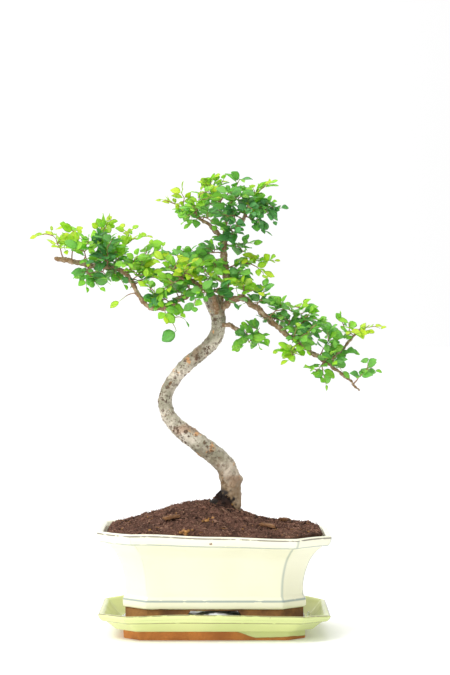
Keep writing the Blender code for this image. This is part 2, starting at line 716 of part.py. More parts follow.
# ---------------------------------------------------------------- sprays of leaves
class Room:
    """The space already taken, as round-ended bars."""

    def __init__(self):
        self.a = np.zeros((0, 3))
        self.b = np.zeros((0, 3))
        self.r = np.zeros(0)
        self.owner = np.zeros(0, int)

    def take(self, a, b, radius, owner=-1):
        self.a = np.vstack([self.a, a])
        self.b = np.vstack([self.b, b])
        self.r = np.append(self.r, radius)
        self.owner = np.append(self.owner, owner)

    def take_line(self, points, radii, owner=-1):
        for k in range(len(points) - 1):
            self.take(points[k], points[k + 1], max(radii[k], radii[k + 1]), owner)

    def clearance(self, a, b, radius, own=-2):
        """Smallest gap between this bar and the ones taken, leaving out those of one owner."""
        probe = a + np.linspace(0, 1, 9)[:, None] * (b - a)
        span = self.b - self.a
        square = np.maximum((span**2).sum(1), 1e-9)
        offset = probe[:, None] - self.a[None]
        t = np.clip((offset * span).sum(2) / square, 0, 1)
        gap = np.linalg.norm(offset - t[..., None] * span, axis=2) - self.r - radius
        return float(np.where(self.owner == own, 99.0, gap).min())


class SprayMesh:
    """One shoot with its side shoots and leaves, grown face by face into one closed skin."""

    def __init__(self):
        self.points = []
        self.faces = []

    def add_ring(self, centre, u, v, half_u, half_v, start):
        """Four points round a centre, in the plane of u and v."""
        ring = []
        for k in range(4):
            angle = start + k * math.pi / 2
            ring.append(len(self.points))
            self.points.append(centre + u * half_u * math.cos(angle) + v * half_v * math.sin(angle))
        return ring

    def join(self, low, high, kept=()):
        for k in range(4):
            if k not in kept:
                self.faces.append((low[k], low[(k + 1) % 4], high[(k + 1) % 4], high[k]))

    def leaf(self, opening, leaf):
        """Grows a leaf out of a ring of four points."""
        axis, wide, normal = leaf["axis"], leaf["wide"], leaf["normal"]
        base = leaf["base"]
        corner = self.points[opening[0]] - np.mean([self.points[i] for i in opening], axis=0)
        lead = math.atan2(corner.dot(normal), corner.dot(wide))
        start = round((lead - math.pi / 4) / (math.pi / 2)) * math.pi / 2
        size = leaf["size"]
        thick = LEAF_THICKNESS / 2
        bend = normal * leaf["bend"] * size
        rows = ((0.09, 0.07, 0.8, 0.0), (0.36, 0.49, 1.0, 0.3), (0.7, 0.42, 1.0, 0.1))
        ring = opening
        for share, width, depth, lift in rows:
            centre = base + axis * share * LEAF_LENGTH * size + bend * lift
            half = max(width * LEAF_WIDTH * size, 0.4)
            fresh = self.add_ring(centre, wide, normal, half, thick * depth, start)
            self.join(ring, fresh)
            ring = fresh
        tip = len(self.points)
        self.points.append(base + axis * LEAF_LENGTH * size - bend * 0.4)
        for k in range(4):
            self.faces.append((ring[k], ring[(k + 1) % 4], tip))

    def shoot(self, opening, shoot):
        """Grows a shoot out of an opening, or from a closed end, with what it carries."""
        ring = opening
        carried = shoot["carried"]
        frames = shoot["frames"]
        for k, (centre, side, up, _) in enumerate(frames):
            radius = shoot["radii"][k]
            start = math.pi / 4
            if opening is not None and k == 0:
                corner = self.points[opening[0]] - np.mean([self.points[i] for i in opening], axis=0)
                lead = math.atan2(corner.dot(up), corner.dot(side))
                shoot["lead"] = round((lead - start) / (math.pi / 2)) * math.pi / 2
            start += shoot.get("lead", 0.0)
            fresh = self.add_ring(centre, side, up, radius, radius, start)
            if ring is None:
                self.faces.append(tuple(reversed(fresh)))
            else:
                turned = round(shoot.get("lead", 0.0) / (math.pi / 2))
                slots = {(3 - turned) % 4: 1, (1 - turned) % 4: -1}
                kept = [slot for slot, sign in slots.items() if (k, sign) in carried]
                self.join(ring, fresh, kept)
                for slot in kept:
                    mouth = [ring[slot], ring[(slot + 1) % 4], fresh[(slot + 1) % 4], fresh[slot]]
                    child = carried[k, slots[slot]]
                    if "frames" in child:
                        self.shoot(mouth, child)
                    else:
                        self.leaf(mouth, child)
            ring = fresh
        if shoot["end"] is None:
            self.faces.append(tuple(ring))
        else:
            self.leaf(ring, shoot["end"])


def shoot_frames(points):
    """(centre, side, up, ahead) at each point of a shoot, with up as near +Z as it can be."""
    ahead = directions(points)
    frames = []
    for centre, along in zip(points, ahead):
        up = np.array([0.0, 0.0, 1.0]) - along * along[2]
        if np.linalg.norm(up) < 0.25:
            up = np.array([0.0, 1.0, 0.0]) - along * along[1]
        up = up / np.linalg.norm(up)
        frames.append((centre, np.cross(up, along), up, along))
    return frames


def shoot_points(start, tip):
    """Points along a shoot that bows a little upwards."""
    length = float(np.linalg.norm(tip - start))
    count = max(3, int(round(length / SHOOT_PITCH)))
    t = np.linspace(0, 1, count + 1)[:, None]
    bow = np.array([0.0, 0.0, 0.16 * length])
    middle = (start + tip) / 2 + bow
    return (1 - t) ** 2 * start + 2 * t * (1 - t) * middle + t**2 * tip


def leaf_at(frame, sign, size, dice, room, radius, own):
    """A leaf on one side of a shoot (sign 0 for its end) that clears everything, or None."""
    centre, side, up, ahead = frame
    for attempt in range(14):
        angle = math.radians(dice.uniform(46, 68)) if sign else 0.0
        rise = dice.uniform(-0.4, 0.4) * (1 + attempt / 8)
        sway = dice.uniform(-0.25, 0.25)
        axis = side * sign * math.sin(angle) + ahead * math.cos(angle) + up * rise
        if not sign:
            axis = axis + side * sway
        axis = axis / np.linalg.norm(axis)
        roll = dice.uniform(-0.5, 0.5)
        normal = up + side * roll + ahead * dice.uniform(-0.2, 0.2)
        normal = normal - axis * normal.dot(axis)
        normal = normal / np.linalg.norm(normal)
        wide = np.cross(normal, axis)
        base = centre + side * sign * radius * 0.7
        reach = LEAF_LENGTH * size
        half = 0.5 * LEAF_WIDTH * size
        near = base + axis * (0.2 * reach + half * 0.5)
        far = base + axis * (reach - 0.6 * half)
        if room.clearance(near, far, half, own) > 0.15:
            room.take(near, far, half)
            return {
                "axis": axis,
                "wide": wide,
                "normal": normal,
                "base": base,
                "size": size,
                "bend": dice.uniform(0.02, 0.1),
            }
    return None


def dress_shoot(points, dice, room, own, child_at=None, child=None):
    """Leaves on alternate sides of a shoot and one at its end. Its first stretch stays bare."""
    frames = shoot_frames(points)
    count = len(points)
    radii = np.linspace(SHOOT_RADIUS, 0.55 * SHOOT_RADIUS, count)
    carried = {}
    end = leaf_at(frames[-1], 0, dice.uniform(0.75, 0.95), dice, room, radii[-1], own)
    if child is not None:
        carried[child_at] = child
    leaves = 0
    sign = dice.choice((-1, 1))
    for k in range(count - 1, 1, -1):
        sign = -sign
        if leaves >= LONGEST_LEAF_RUN or (k, sign) in carried:
            continue
        middle = tuple(0.5 * (a + b) for a, b in zip(frames[k - 1], frames[k]))
        size = dice.uniform(0.8, 1.12)
        leaf = leaf_at(middle, sign, size, dice, room, radii[k], own)
        if leaf is not None:
            carried[k, sign] = leaf
            leaves += 1
    return {"frames": frames, "radii": radii, "carried": carried, "end": end}


def main_shoot(line, tip):
    """A shoot from inside the nearest wood of a limb to its tip. Its second point is in the air."""
    points = line[:, :3]
    usable = np.arange(3, len(points))
    nearest = usable[int(np.linalg.norm(points[usable] - tip, axis=1).argmin())]
    way = tip - points[nearest]
    way = way / np.linalg.norm(way)
    girth = line[max(nearest - 1, 0) : nearest + 2, 3].max()
    surface = points[nearest] + way * (girth + SHOOT_RADIUS + 1.5 * FIT_GAP)
    return np.vstack([points[nearest], shoot_points(surface, tip)])


def side_shoot(main, tip):
    """(slot, side, points) of a shoot that leaves another one near its middle."""
    slot = max(2, int(round(0.45 * (len(main) - 1))))
    frames = shoot_frames(main)
    middle = 0.5 * (frames[slot - 1][0] + frames[slot][0])
    sign = 1 if (tip - middle).dot(frames[slot][1]) > 0 else -1
    root = middle + frames[slot][1] * sign * (SHOOT_RADIUS + 0.8)
    return slot, sign, shoot_points(root, tip)


def fits(points, room):
    """True if a shoot clears all that is placed."""
    steps = zip(points[:-1], points[1:])
    return all(room.clearance(a, b, SHOOT_RADIUS) > 0.1 for a, b in steps)


def bent_to_fit(main, dice, room):
    """The shoot, or one with its tip moved a little, that clears all that is placed, or None."""
    bend = np.linspace(0, 1, len(main))[:, None] ** 1.3
    trial = main
    for _ in range(12):
        if fits(trial[1:], room):
            return trial
        trial = main + bend * np.array([dice.uniform(-4, 4) for _ in range(3)])
    return None


def place_shoots(lines, dice, room):
    """The shoots of every spray, each clear of the ones before it."""
    kept = []
    for limb, tips in SPRAYS:
        ends = placed([(*tip, 1.0) for tip in tips])[:, :3]
        main = bent_to_fit(main_shoot(lines[limb], ends[0]), dice, room)
        if main is None:
            continue
        owner = 2 * len(kept)
        room.take_line(main[1:], np.full(len(main) - 1, SHOOT_RADIUS), owner)
        side = side_shoot(main, ends[1]) if len(ends) > 1 else None
        if side is not None and not fits(side[2], room):
            side = None
        if side is not None:
            room.take_line(side[2], np.full(len(side[2]), SHOOT_RADIUS), owner + 1)
        kept.append((main, side))
    return kept


def build_foliage(lines):
    """Shoots first, so that no leaf takes a shoot's place, then the leaves of each spray."""
    dice = random.Random(SEED)
    room = Room()
    for line in lines.values():
        room.take_line(line[:, :3], line[:, 3])
    mesh = SprayMesh()
    for number, (main, side) in enumerate(place_shoots(lines, dice, room)):
        child = None
        child_at = None
        if side is not None:
            child = dress_shoot(side[2], dice, room, 2 * number + 1)
            child_at = side[:2]
        mesh.shoot(None, dress_shoot(main, dice, room, 2 * number, child_at, child))
    return solid("foliage", mesh.points, mesh.faces)


def main():
    clear_scene()
    build_tray()
    build_liner()
    build_pot()
    plastic = finish("screen_plastic", (0.04, 0.04, 0.045), 0.5)
    for name, side in (("drain_screen_left", -1), ("drain_screen_right", 1)):
        screen_plate(name, side * DRAIN_SPACING / 2, plastic)
    build_soil(root_ball_cutters())
    build_chips()
    lines = wood_lines()
    living = finish("bark_and_leaves", (0.30, 0.36, 0.14), 0.7, 0.3)
    carve(build_wood(lines, living), [build_foliage(lines)], "UNION", crossing=True)


if __name__ == "__main__":
    main()
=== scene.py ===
"""The looks of a small elm bonsai in a cream glazed pot on a pale green drip tray.

Every size is in millimetres until a mesh is put into the scene. +Z is up and -Y is the front.
Each sub-assembly is a class with its sizes as fields; each finish is a small class that makes
one material. Shapes are worked out as whole numpy arrays.
"""

import logging
import math
from dataclasses import dataclass, field
from enum import Enum

import bmesh
import bpy
import numpy as np
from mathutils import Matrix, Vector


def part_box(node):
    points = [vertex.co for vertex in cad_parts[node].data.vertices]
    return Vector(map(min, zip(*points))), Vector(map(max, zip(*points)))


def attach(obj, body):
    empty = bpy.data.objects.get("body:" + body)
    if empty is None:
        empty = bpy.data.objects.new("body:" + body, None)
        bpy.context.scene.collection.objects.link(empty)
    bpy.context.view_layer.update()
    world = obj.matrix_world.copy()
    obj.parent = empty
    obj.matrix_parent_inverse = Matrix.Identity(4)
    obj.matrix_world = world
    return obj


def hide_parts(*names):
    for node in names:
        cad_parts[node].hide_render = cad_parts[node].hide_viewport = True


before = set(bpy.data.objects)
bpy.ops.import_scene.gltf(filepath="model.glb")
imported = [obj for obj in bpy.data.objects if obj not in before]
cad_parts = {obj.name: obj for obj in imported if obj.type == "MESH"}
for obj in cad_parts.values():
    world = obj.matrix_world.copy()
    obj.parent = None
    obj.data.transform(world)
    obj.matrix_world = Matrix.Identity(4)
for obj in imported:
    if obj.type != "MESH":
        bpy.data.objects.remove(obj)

LOG = logging.getLogger("bonsai")
MM = 0.001
Array = np.ndarray
Colour = tuple[float, float, float]
BODY = "root"


# ---------------------------------------------------------------- numbers on arrays
def ripple(points: Array, size: float, seed: int, waves: int = 9) -> Array:
    """Smooth unevenness at each point: the sum of sine waves that run in many directions.

    Args:
        points: places, in the last axis.
        size: mean length of one wave.
        seed: chooses the directions.
        waves: how many waves are added.

    Returns:
        One value for each point, about 1 in spread and 0 on average.
    """
    dice = np.random.default_rng(seed)
    ways = dice.normal(size=(waves, points.shape[-1]))
    ways /= np.linalg.norm(ways, axis=1, keepdims=True)
    ways *= 2 * math.pi / size * dice.uniform(0.7, 1.4, (waves, 1))
    phase = dice.uniform(0, 2 * math.pi, waves)
    return np.sin(points @ ways.T + phase).sum(-1) / math.sqrt(waves / 2)


def unit(vectors: Array) -> Array:
    """The vectors at length one."""
    return vectors / np.maximum(np.linalg.norm(vectors, axis=-1, keepdims=True), 1e-9)


def smoothed(line: Array, per_span: int) -> Array:
    """More points on the smooth curve (Catmull-Rom) through the points of a line.

    Args:
        line: points, one in each row.
        per_span: points for each span between two given ones.

    Returns:
        The longer line, with its first and last point kept.
    """
    padded = np.vstack([2 * line[0] - line[1], line, 2 * line[-1] - line[-2]])
    a, b, c, d = padded[:-3, None], padded[1:-2, None], padded[2:-1, None], padded[3:, None]
    t = (np.arange(per_span) / per_span)[None, :, None]
    curve = 2 * b + (c - a) * t + (2 * a - 5 * b + 4 * c - d) * t**2 + (3 * b - a - 3 * c + d) * t**3
    return np.vstack([0.5 * curve.reshape(-1, line.shape[1]), line[-1:]])


def filleted(profile: Array, steps: int = 5) -> Array:
    """A polyline whose inner corners are rounded by a parabola that leaves each side tangent.

    Args:
        profile: rows of (inset, height, radius).
        steps: points on each rounded corner.

    Returns:
        Rows of (inset, height).
    """
    here = profile[1:-1, :2]
    radius = profile[1:-1, 2:]
    back = profile[:-2, :2] - here
    ahead = profile[2:, :2] - here
    start = here + unit(back) * np.minimum(radius, 0.48 * np.linalg.norm(back, axis=1, keepdims=True))
    end = here + unit(ahead) * np.minimum(radius, 0.48 * np.linalg.norm(ahead, axis=1, keepdims=True))
    t = np.linspace(0, 1, steps)[None, :, None]
    bend = (1 - t) ** 2 * start[:, None] + 2 * t * (1 - t) * here[:, None] + t**2 * end[:, None]
    return np.vstack([profile[:1, :2], bend.reshape(-1, 2), profile[-1:, :2]])


def along(profile: Array) -> Array:
    """Distance travelled at each point of a line."""
    steps = np.linalg.norm(np.diff(profile, axis=0), axis=1)
    return np.concatenate([[0.0], np.cumsum(steps)])


def box_mm(node: str) -> tuple[Array, Array]:
    """Lowest and highest corner of a CAD node, in millimetres."""
    low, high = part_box(node)
    return np.array(low) / MM, np.array(high) / MM


# ---------------------------------------------------------------- meshes
@dataclass
class Skin:
    """A mesh in the making: points, faces and values at its points."""

    points: Array
    quads: Array
    tris: Array = field(default_factory=lambda: np.zeros((0, 3), int))
    values: dict[str, Array] = field(default_factory=dict)
    uv: Array | None = None

    @staticmethod
    def joined(skins: list["Skin"]) -> "Skin":
        """Several skins as one, their faces renumbered."""
        starts = np.cumsum([0] + [len(skin.points) for skin in skins[:-1]])
        return Skin(
            np.concatenate([skin.points for skin in skins]),
            np.concatenate([skin.quads + start for skin, start in zip(skins, starts)]),
            np.concatenate([skin.tris + start for skin, start in zip(skins, starts)]),
            {key: np.concatenate([skin.values[key] for skin in skins]) for key in skins[0].values},
            None if skins[0].uv is None else np.concatenate([skin.uv for skin in skins]),
        )

    def mesh(self, name: str) -> bpy.types.Mesh:
        """The skin as a Blender mesh in metres, with its faces turned outwards."""
        mesh = bpy.data.meshes.new(name)
        loops = np.concatenate([self.quads.ravel(), self.tris.ravel()]).astype(np.int32)
        first = 4 * len(self.quads)
        starts = np.concatenate([np.arange(0, first, 4), first + 3 * np.arange(len(self.tris))])
        mesh.vertices.add(len(self.points))
        mesh.vertices.foreach_set("co", (self.points * MM).astype(np.float32).ravel())
        mesh.loops.add(len(loops))
        mesh.loops.foreach_set("vertex_index", loops)
        mesh.polygons.add(len(starts))
        mesh.polygons.foreach_set("loop_start", starts.astype(np.int32))
        mesh.update(calc_edges=True)
        mesh.polygons.foreach_set("use_smooth", np.ones(len(starts), bool))
        store(mesh, self.values)
        if self.uv is not None:
            layer = mesh.uv_layers.new(name="surface")
            layer.data.foreach_set("uv", self.uv[loops].astype(np.float32).ravel())
        work = bmesh.new()
        work.from_mesh(mesh)
        bmesh.ops.recalc_face_normals(work, faces=work.faces)
        work.to_mesh(mesh)
        work.free()
        return mesh

    def put(self, name: str, material: bpy.types.Material) -> bpy.types.Object:
        """The skin as an object of the scene with one material."""
        return put_mesh(self.mesh(name), material)


def store(mesh: bpy.types.Mesh, values: dict[str, Array]) -> None:
    """Keeps each array of values at the mesh's points, where the finishes read it."""
    for key, value in values.items():
        layer = mesh.attributes.new(key, "FLOAT", "POINT")
        layer.data.foreach_set("value", np.asarray(value, np.float32))


def put_mesh(mesh: bpy.types.Mesh, material: bpy.types.Material) -> bpy.types.Object:
    """A mesh as an object at the origin, with one material."""
    item = bpy.data.objects.new(mesh.name, mesh)
    bpy.context.scene.collection.objects.link(item)
    mesh.materials.clear()
    mesh.materials.append(material)
    return item


def ring_quads(index: Array) -> Array:
    """Faces between rings of point numbers, as (..., rows, columns), each ring closed on itself."""
    turned = np.roll(index, -1, axis=-1)
    corners = [index[..., :-1, :], turned[..., :-1, :], turned[..., 1:, :], index[..., 1:, :]]
    return np.stack(corners, -1).reshape(-1, 4)


def closed_rings(rings: Array, first: Array, last: Array, values: dict[str, Array]) -> Skin:
    """A closed skin over rings, with a fan of triangles to a pole at each end.

    Args:
        rings: points, as (rows, columns, 3).
        first: pole next to the first ring.
        last: pole next to the last ring.
        values: arrays of (rows, columns). A pole takes its nearest ring's mean.

    Returns:
        The skin.
    """
    rows, columns = rings.shape[:2]
    count = rows * columns
    ring = np.arange(columns)
    turned = np.roll(ring, -1)
    lower = np.stack([turned, ring, np.full(columns, count)], -1)
    start = count - columns
    upper = np.stack([start + ring, start + turned, np.full(columns, count + 1)], -1)
    full = {
        key: np.concatenate([value.ravel(), [value[0].mean(), value[-1].mean()]])
        for key, value in values.items()
    }
    points = np.vstack([rings.reshape(-1, 3), first, last])
    quads = ring_quads(np.arange(count).reshape(rows, columns))
    return Skin(points, quads, np.concatenate([lower, upper]), full)


def evaluated(item: bpy.types.Object) -> bpy.types.Mesh:
    """A copy of an object's mesh with its modifiers applied."""
    graph = bpy.context.evaluated_depsgraph_get()
    return bpy.data.meshes.new_from_object(item.evaluated_get(graph))


def settle(item: bpy.types.Object, slot: str, *nodes: str) -> None:
    """Makes a piece ride on the body and stand for CAD nodes."""
    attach(item, BODY)
    if nodes:
        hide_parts(*nodes)
    item.data.calc_loop_triangles()
    LOG.info("%s: %d triangles", item.name, len(item.data.loop_triangles))


# ---------------------------------------------------------------- outline of pot and tray
@dataclass(frozen=True)
class CutRectangle:
    """A rectangle with cut-off, softly rounded corners, seen from above."""

    half_x: float
    half_y: float
    cut: float
    cut_shrink: float
    rounding: float = 1.8
    side_points: tuple[int, int, int] = (46, 34, 9)
    bend_points: int = 5

    def corners(self, inset: Array) -> Array:
        """The eight corners at each inset, anticlockwise from the front left, as (rows, 8, 2)."""
        x = self.half_x - inset
        y = self.half_y - inset
        c = np.maximum(self.cut - self.cut_shrink * inset, 2.0)
        pairs = [(c - x, -y), (x - c, -y), (x, c - y), (x, y - c)]
        pairs += [(x - c, y), (c - x, y), (-x, y - c), (-x, c - y)]
        return np.stack([np.stack(pair, -1) for pair in pairs], 1)

    def weights(self) -> Array:
        """How much each of the 24 control points counts in each point of a ring.

        Each corner has three: a rounded corner is the parabola over them, and a side is the
        straight line from one corner's last to the next corner's first.
        """
        t = np.linspace(0, 1, self.bend_points)
        bend = np.stack([(1 - t) ** 2, 2 * t * (1 - t), t**2], 1)
        long, short, cut = self.side_points
        blocks = []
        for corner, count in enumerate((long, cut, short, cut) * 2):
            block = np.zeros((self.bend_points + count, 24))
            block[: self.bend_points, 3 * corner : 3 * corner + 3] = bend
            s = np.linspace(0, 1, count + 2)[1:-1]
            block[self.bend_points :, 3 * corner + 2] = 1 - s
            block[self.bend_points :, (3 * corner + 3) % 24] = s
            blocks.append(block)
        return np.concatenate(blocks)

    def rings(self, inset: Array, height: Array) -> tuple[Array, Array]:
        """Points round the outline at each inset and height, and their distance to a corner.

        Args:
            inset: distance in from the outermost outline, one for each row.
            height: height of each row.

        Returns:
            Points as (rows, columns, 3), and distances as (rows, columns).
        """
        corner = self.corners(inset)
        back = np.roll(corner, 1, axis=1) - corner
        ahead = np.roll(corner, -1, axis=1) - corner
        shortest = np.minimum(np.linalg.norm(back, axis=-1), np.linalg.norm(ahead, axis=-1))
        reach = np.minimum(self.rounding, 0.35 * shortest)[..., None]
        controls = np.stack([corner + unit(back) * reach, corner, corner + unit(ahead) * reach], 2)
        flat = np.einsum("ck,rkd->rcd", self.weights(), controls.reshape(len(inset), 24, 2))
        gap = np.linalg.norm(flat[:, :, None] - corner[:, None], axis=-1).min(-1)
        level = np.broadcast_to(height[:, None, None], flat.shape[:2] + (1,))
        return np.concatenate([flat, level], -1), gap


# ---------------------------------------------------------------- node trees
class Graph:
    """A hand for building one node tree."""

    def __init__(self, tree: bpy.types.NodeTree) -> None:
        """Keeps the tree that the nodes go into."""
        self.tree = tree

    def add(self, kind: str, inputs: dict | None = None, **options: object) -> bpy.types.Node:
        """A new node.

        Args:
            kind: the node's type, without its ShaderNode start.
            inputs: values or sockets for its inputs, by name or number.
            options: its other settings.

        Returns:
            The node.
        """
        node = self.tree.nodes.new("ShaderNode" + kind)
        for name, value in options.items():
            setattr(node, name, value)
        return self.fed(node, inputs or {})

    def fed(self, node: bpy.types.Node, inputs: dict) -> bpy.types.Node:
        """A node whose inputs are joined to sockets or set to values."""
        for key, value in inputs.items():
            if isinstance(value, bpy.types.NodeSocket):
                self.link(value, node.inputs[key])
            else:
                node.inputs[key].default_value = value
        return node

    def link(self, value: object, socket: object) -> None:
        """Joins a value to an input socket."""
        self.tree.links.new(value, socket)

    def math(self, operation: str, a: object, b: object = 0.5, clamp: bool = False) -> object:
        """The result of one sum on two values."""
        return self.add("Math", {0: a, 1: b}, operation=operation, use_clamp=clamp).outputs[0]

    def times(self, a: object, b: object, clamp: bool = False) -> object:
        """Two values multiplied."""
        return self.math("MULTIPLY", a, b, clamp)

    def plus(self, a: object, b: object, clamp: bool = False) -> object:
        """Two values added."""
        return self.math("ADD", a, b, clamp)

    def minus(self, a: object, b: object, clamp: bool = False) -> object:
        """One value less another."""
        return self.math("SUBTRACT", a, b, clamp)

    def mix(self, share: object, a: object, b: object, blend: str = "MIX") -> object:
        """Two colours mixed by a share."""
        inputs = {0: share, 6: opaque(a), 7: opaque(b)}
        return self.add("Mix", inputs, data_type="RGBA", blend_type=blend).outputs[2]

    def spread(self, value: object, low: float, high: float, a: float = 0.0, b: float = 1.0) -> object:
        """A value eased from a at low to b at high."""
        inputs = {"Value": value, 1: low, 2: high, 3: a, 4: b}
        return self.add("MapRange", inputs, interpolation_type="SMOOTHSTEP").outputs[0]

    def value(self, name: str) -> object:
        """A value kept at the mesh's points."""
        return self.add("Attribute", attribute_name=name).outputs["Fac"]

    def place(self) -> object:
        """Object coordinates."""
        return self.add("TexCoord").outputs["Object"]

    def noise(self, where: object, scale: float, detail: float = 3.0, rough: float = 0.55) -> object:
        """Cloudy noise from 0 to 1."""
        inputs = {"Vector": where, "Scale": scale, "Detail": detail, "Roughness": rough}
        return self.add("TexNoise", inputs).outputs[0]

    def bump(self, height: object, distance: float, strength: float = 1.0, under: object = None) -> object:
        """A normal from a height, on top of another one if given."""
        inputs = {"Height": height, "Distance": distance, "Strength": strength}
        if under is not None:
            inputs["Normal"] = under
        return self.add("Bump", inputs).outputs[0]

    def use(self, group: bpy.types.NodeTree, inputs: dict) -> object:
        """The first output of a shared group."""
        node = self.tree.nodes.new("ShaderNodeGroup")
        node.node_tree = group
        return self.fed(node, inputs).outputs[0]


def opaque(colour: object) -> object:
    """A colour with full opacity, or a socket as it is."""
    return colour if isinstance(colour, bpy.types.NodeSocket) else (*colour, 1.0)


def new_group(name: str, inputs: dict[str, float | None]) -> tuple[Graph, dict[str, object], object]:
    """An empty node group with one value output.

    Args:
        name: what it is called.
        inputs: its inputs, each with a standard value, or None for a vector.

    Returns:
        A hand for its tree, its input sockets by name, and its output node.
    """
    tree = bpy.data.node_groups.new(name, "ShaderNodeTree")
    for key, value in inputs.items():
        kind = "NodeSocketVector" if value is None else "NodeSocketFloat"
        socket = tree.interface.new_socket(name=key, in_out="INPUT", socket_type=kind)
        if value is not None:
            socket.default_value = value
    tree.interface.new_socket(name="Mask", in_out="OUTPUT", socket_type="NodeSocketFloat")
    hand = Graph(tree)
    source = tree.nodes.new("NodeGroupInput")
    return hand, {key: source.outputs[key] for key in inputs}, tree.nodes.new("NodeGroupOutput")


class SharedEffects:
    """Node groups that several finishes use, each built once."""

    def __init__(self) -> None:
        """Builds every group."""
        self.speckle = self.build_speckle()
        self.broken_line = self.build_broken_line()
        self.grain = self.build_grain()
        self.veins = self.build_veins()

    def build_speckle(self) -> bpy.types.NodeTree:
        """Scattered round specks of uneven size: cells whose centre is nearer than a random limit."""
        hand, inp, out = new_group("speckle", {"Vector": None, "Scale": 400.0, "Size": 0.3, "Kept": 0.4})
        cells = hand.add("TexVoronoi", {"Vector": inp["Vector"], "Scale": inp["Scale"]})
        chance = hand.add("SeparateColor", {0: cells.outputs["Color"]})
        limit = hand.times(inp["Size"], chance.outputs[0])
        kept = hand.math("LESS_THAN", chance.outputs[1], inp["Kept"])
        inside = hand.minus(limit, cells.outputs["Distance"])
        soft = hand.times(inside, 9.0, clamp=True)
        hand.link(hand.times(soft, kept), out.inputs[0])
        return hand.tree

    def build_broken_line(self) -> bpy.types.NodeTree:
        """A thin line that swells, thins and breaks: full where the distance is under its width."""
        hand, inp, out = new_group(
            "broken_line", {"Vector": None, "Distance": 0.0, "Width": 0.5, "Scale": 120.0, "Gaps": 0.4}
        )
        noise = hand.add("TexNoise", {"Vector": inp["Vector"], "Scale": inp["Scale"], "Detail": 3.0})
        over = hand.minus(noise.outputs[0], inp["Gaps"])
        swell = hand.times(hand.times(over, 6.0, clamp=True), inp["Width"])
        away = hand.math("ABSOLUTE", inp["Distance"])
        share = hand.math("DIVIDE", away, hand.plus(swell, 0.001))
        hand.link(hand.minus(1.4, share, clamp=True), out.inputs[0])
        return hand.tree

    def build_grain(self) -> bpy.types.NodeTree:
        """Fibres: noise squeezed by a stretch along one axis, sharpened by its own ridges."""
        hand, inp, out = new_group("grain", {"Vector": None, "Scale": 300.0, "Warp": 1.5})
        inputs = {"Vector": inp["Vector"], "Scale": inp["Scale"], "Detail": 4.0, "Distortion": inp["Warp"]}
        noise = hand.add("TexNoise", inputs)
        ridge = hand.math("ABSOLUTE", hand.minus(noise.outputs[0], 0.5))
        hand.link(hand.minus(1.0, hand.times(ridge, 3.0), clamp=True), out.inputs[0])
        return hand.tree

    def build_veins(self) -> bpy.types.NodeTree:
        """Midrib and slanting side veins of a leaf from its UV: across in U, along in V."""
        hand, inp, out = new_group("leaf_veins", {"Vector": None, "Pairs": 8.0})
        split = hand.add("SeparateXYZ", {0: inp["Vector"]})
        across = hand.math("ABSOLUTE", hand.minus(split.outputs[0], 0.5))
        rib = hand.spread(across, 0.015, 0.05, 1.0, 0.0)
        pairs = hand.times(split.outputs[1], inp["Pairs"])
        slant = hand.minus(pairs, hand.times(across, 5.0))
        fold = hand.math("ABSOLUTE", hand.minus(hand.math("FRACT", slant), 0.5))
        side = hand.spread(fold, 0.03, 0.12, 0.7, 0.0)
        hand.link(hand.math("MAXIMUM", rib, side), out.inputs[0])
        return hand.tree


def new_material(name: str) -> tuple[bpy.types.Material, Graph, bpy.types.Node]:
    """A material with a Principled shader: the material, a hand for its tree, and the shader."""
    material = bpy.data.materials.new(name)
    material.use_nodes = True
    return material, Graph(material.node_tree), material.node_tree.nodes["Principled BSDF"]


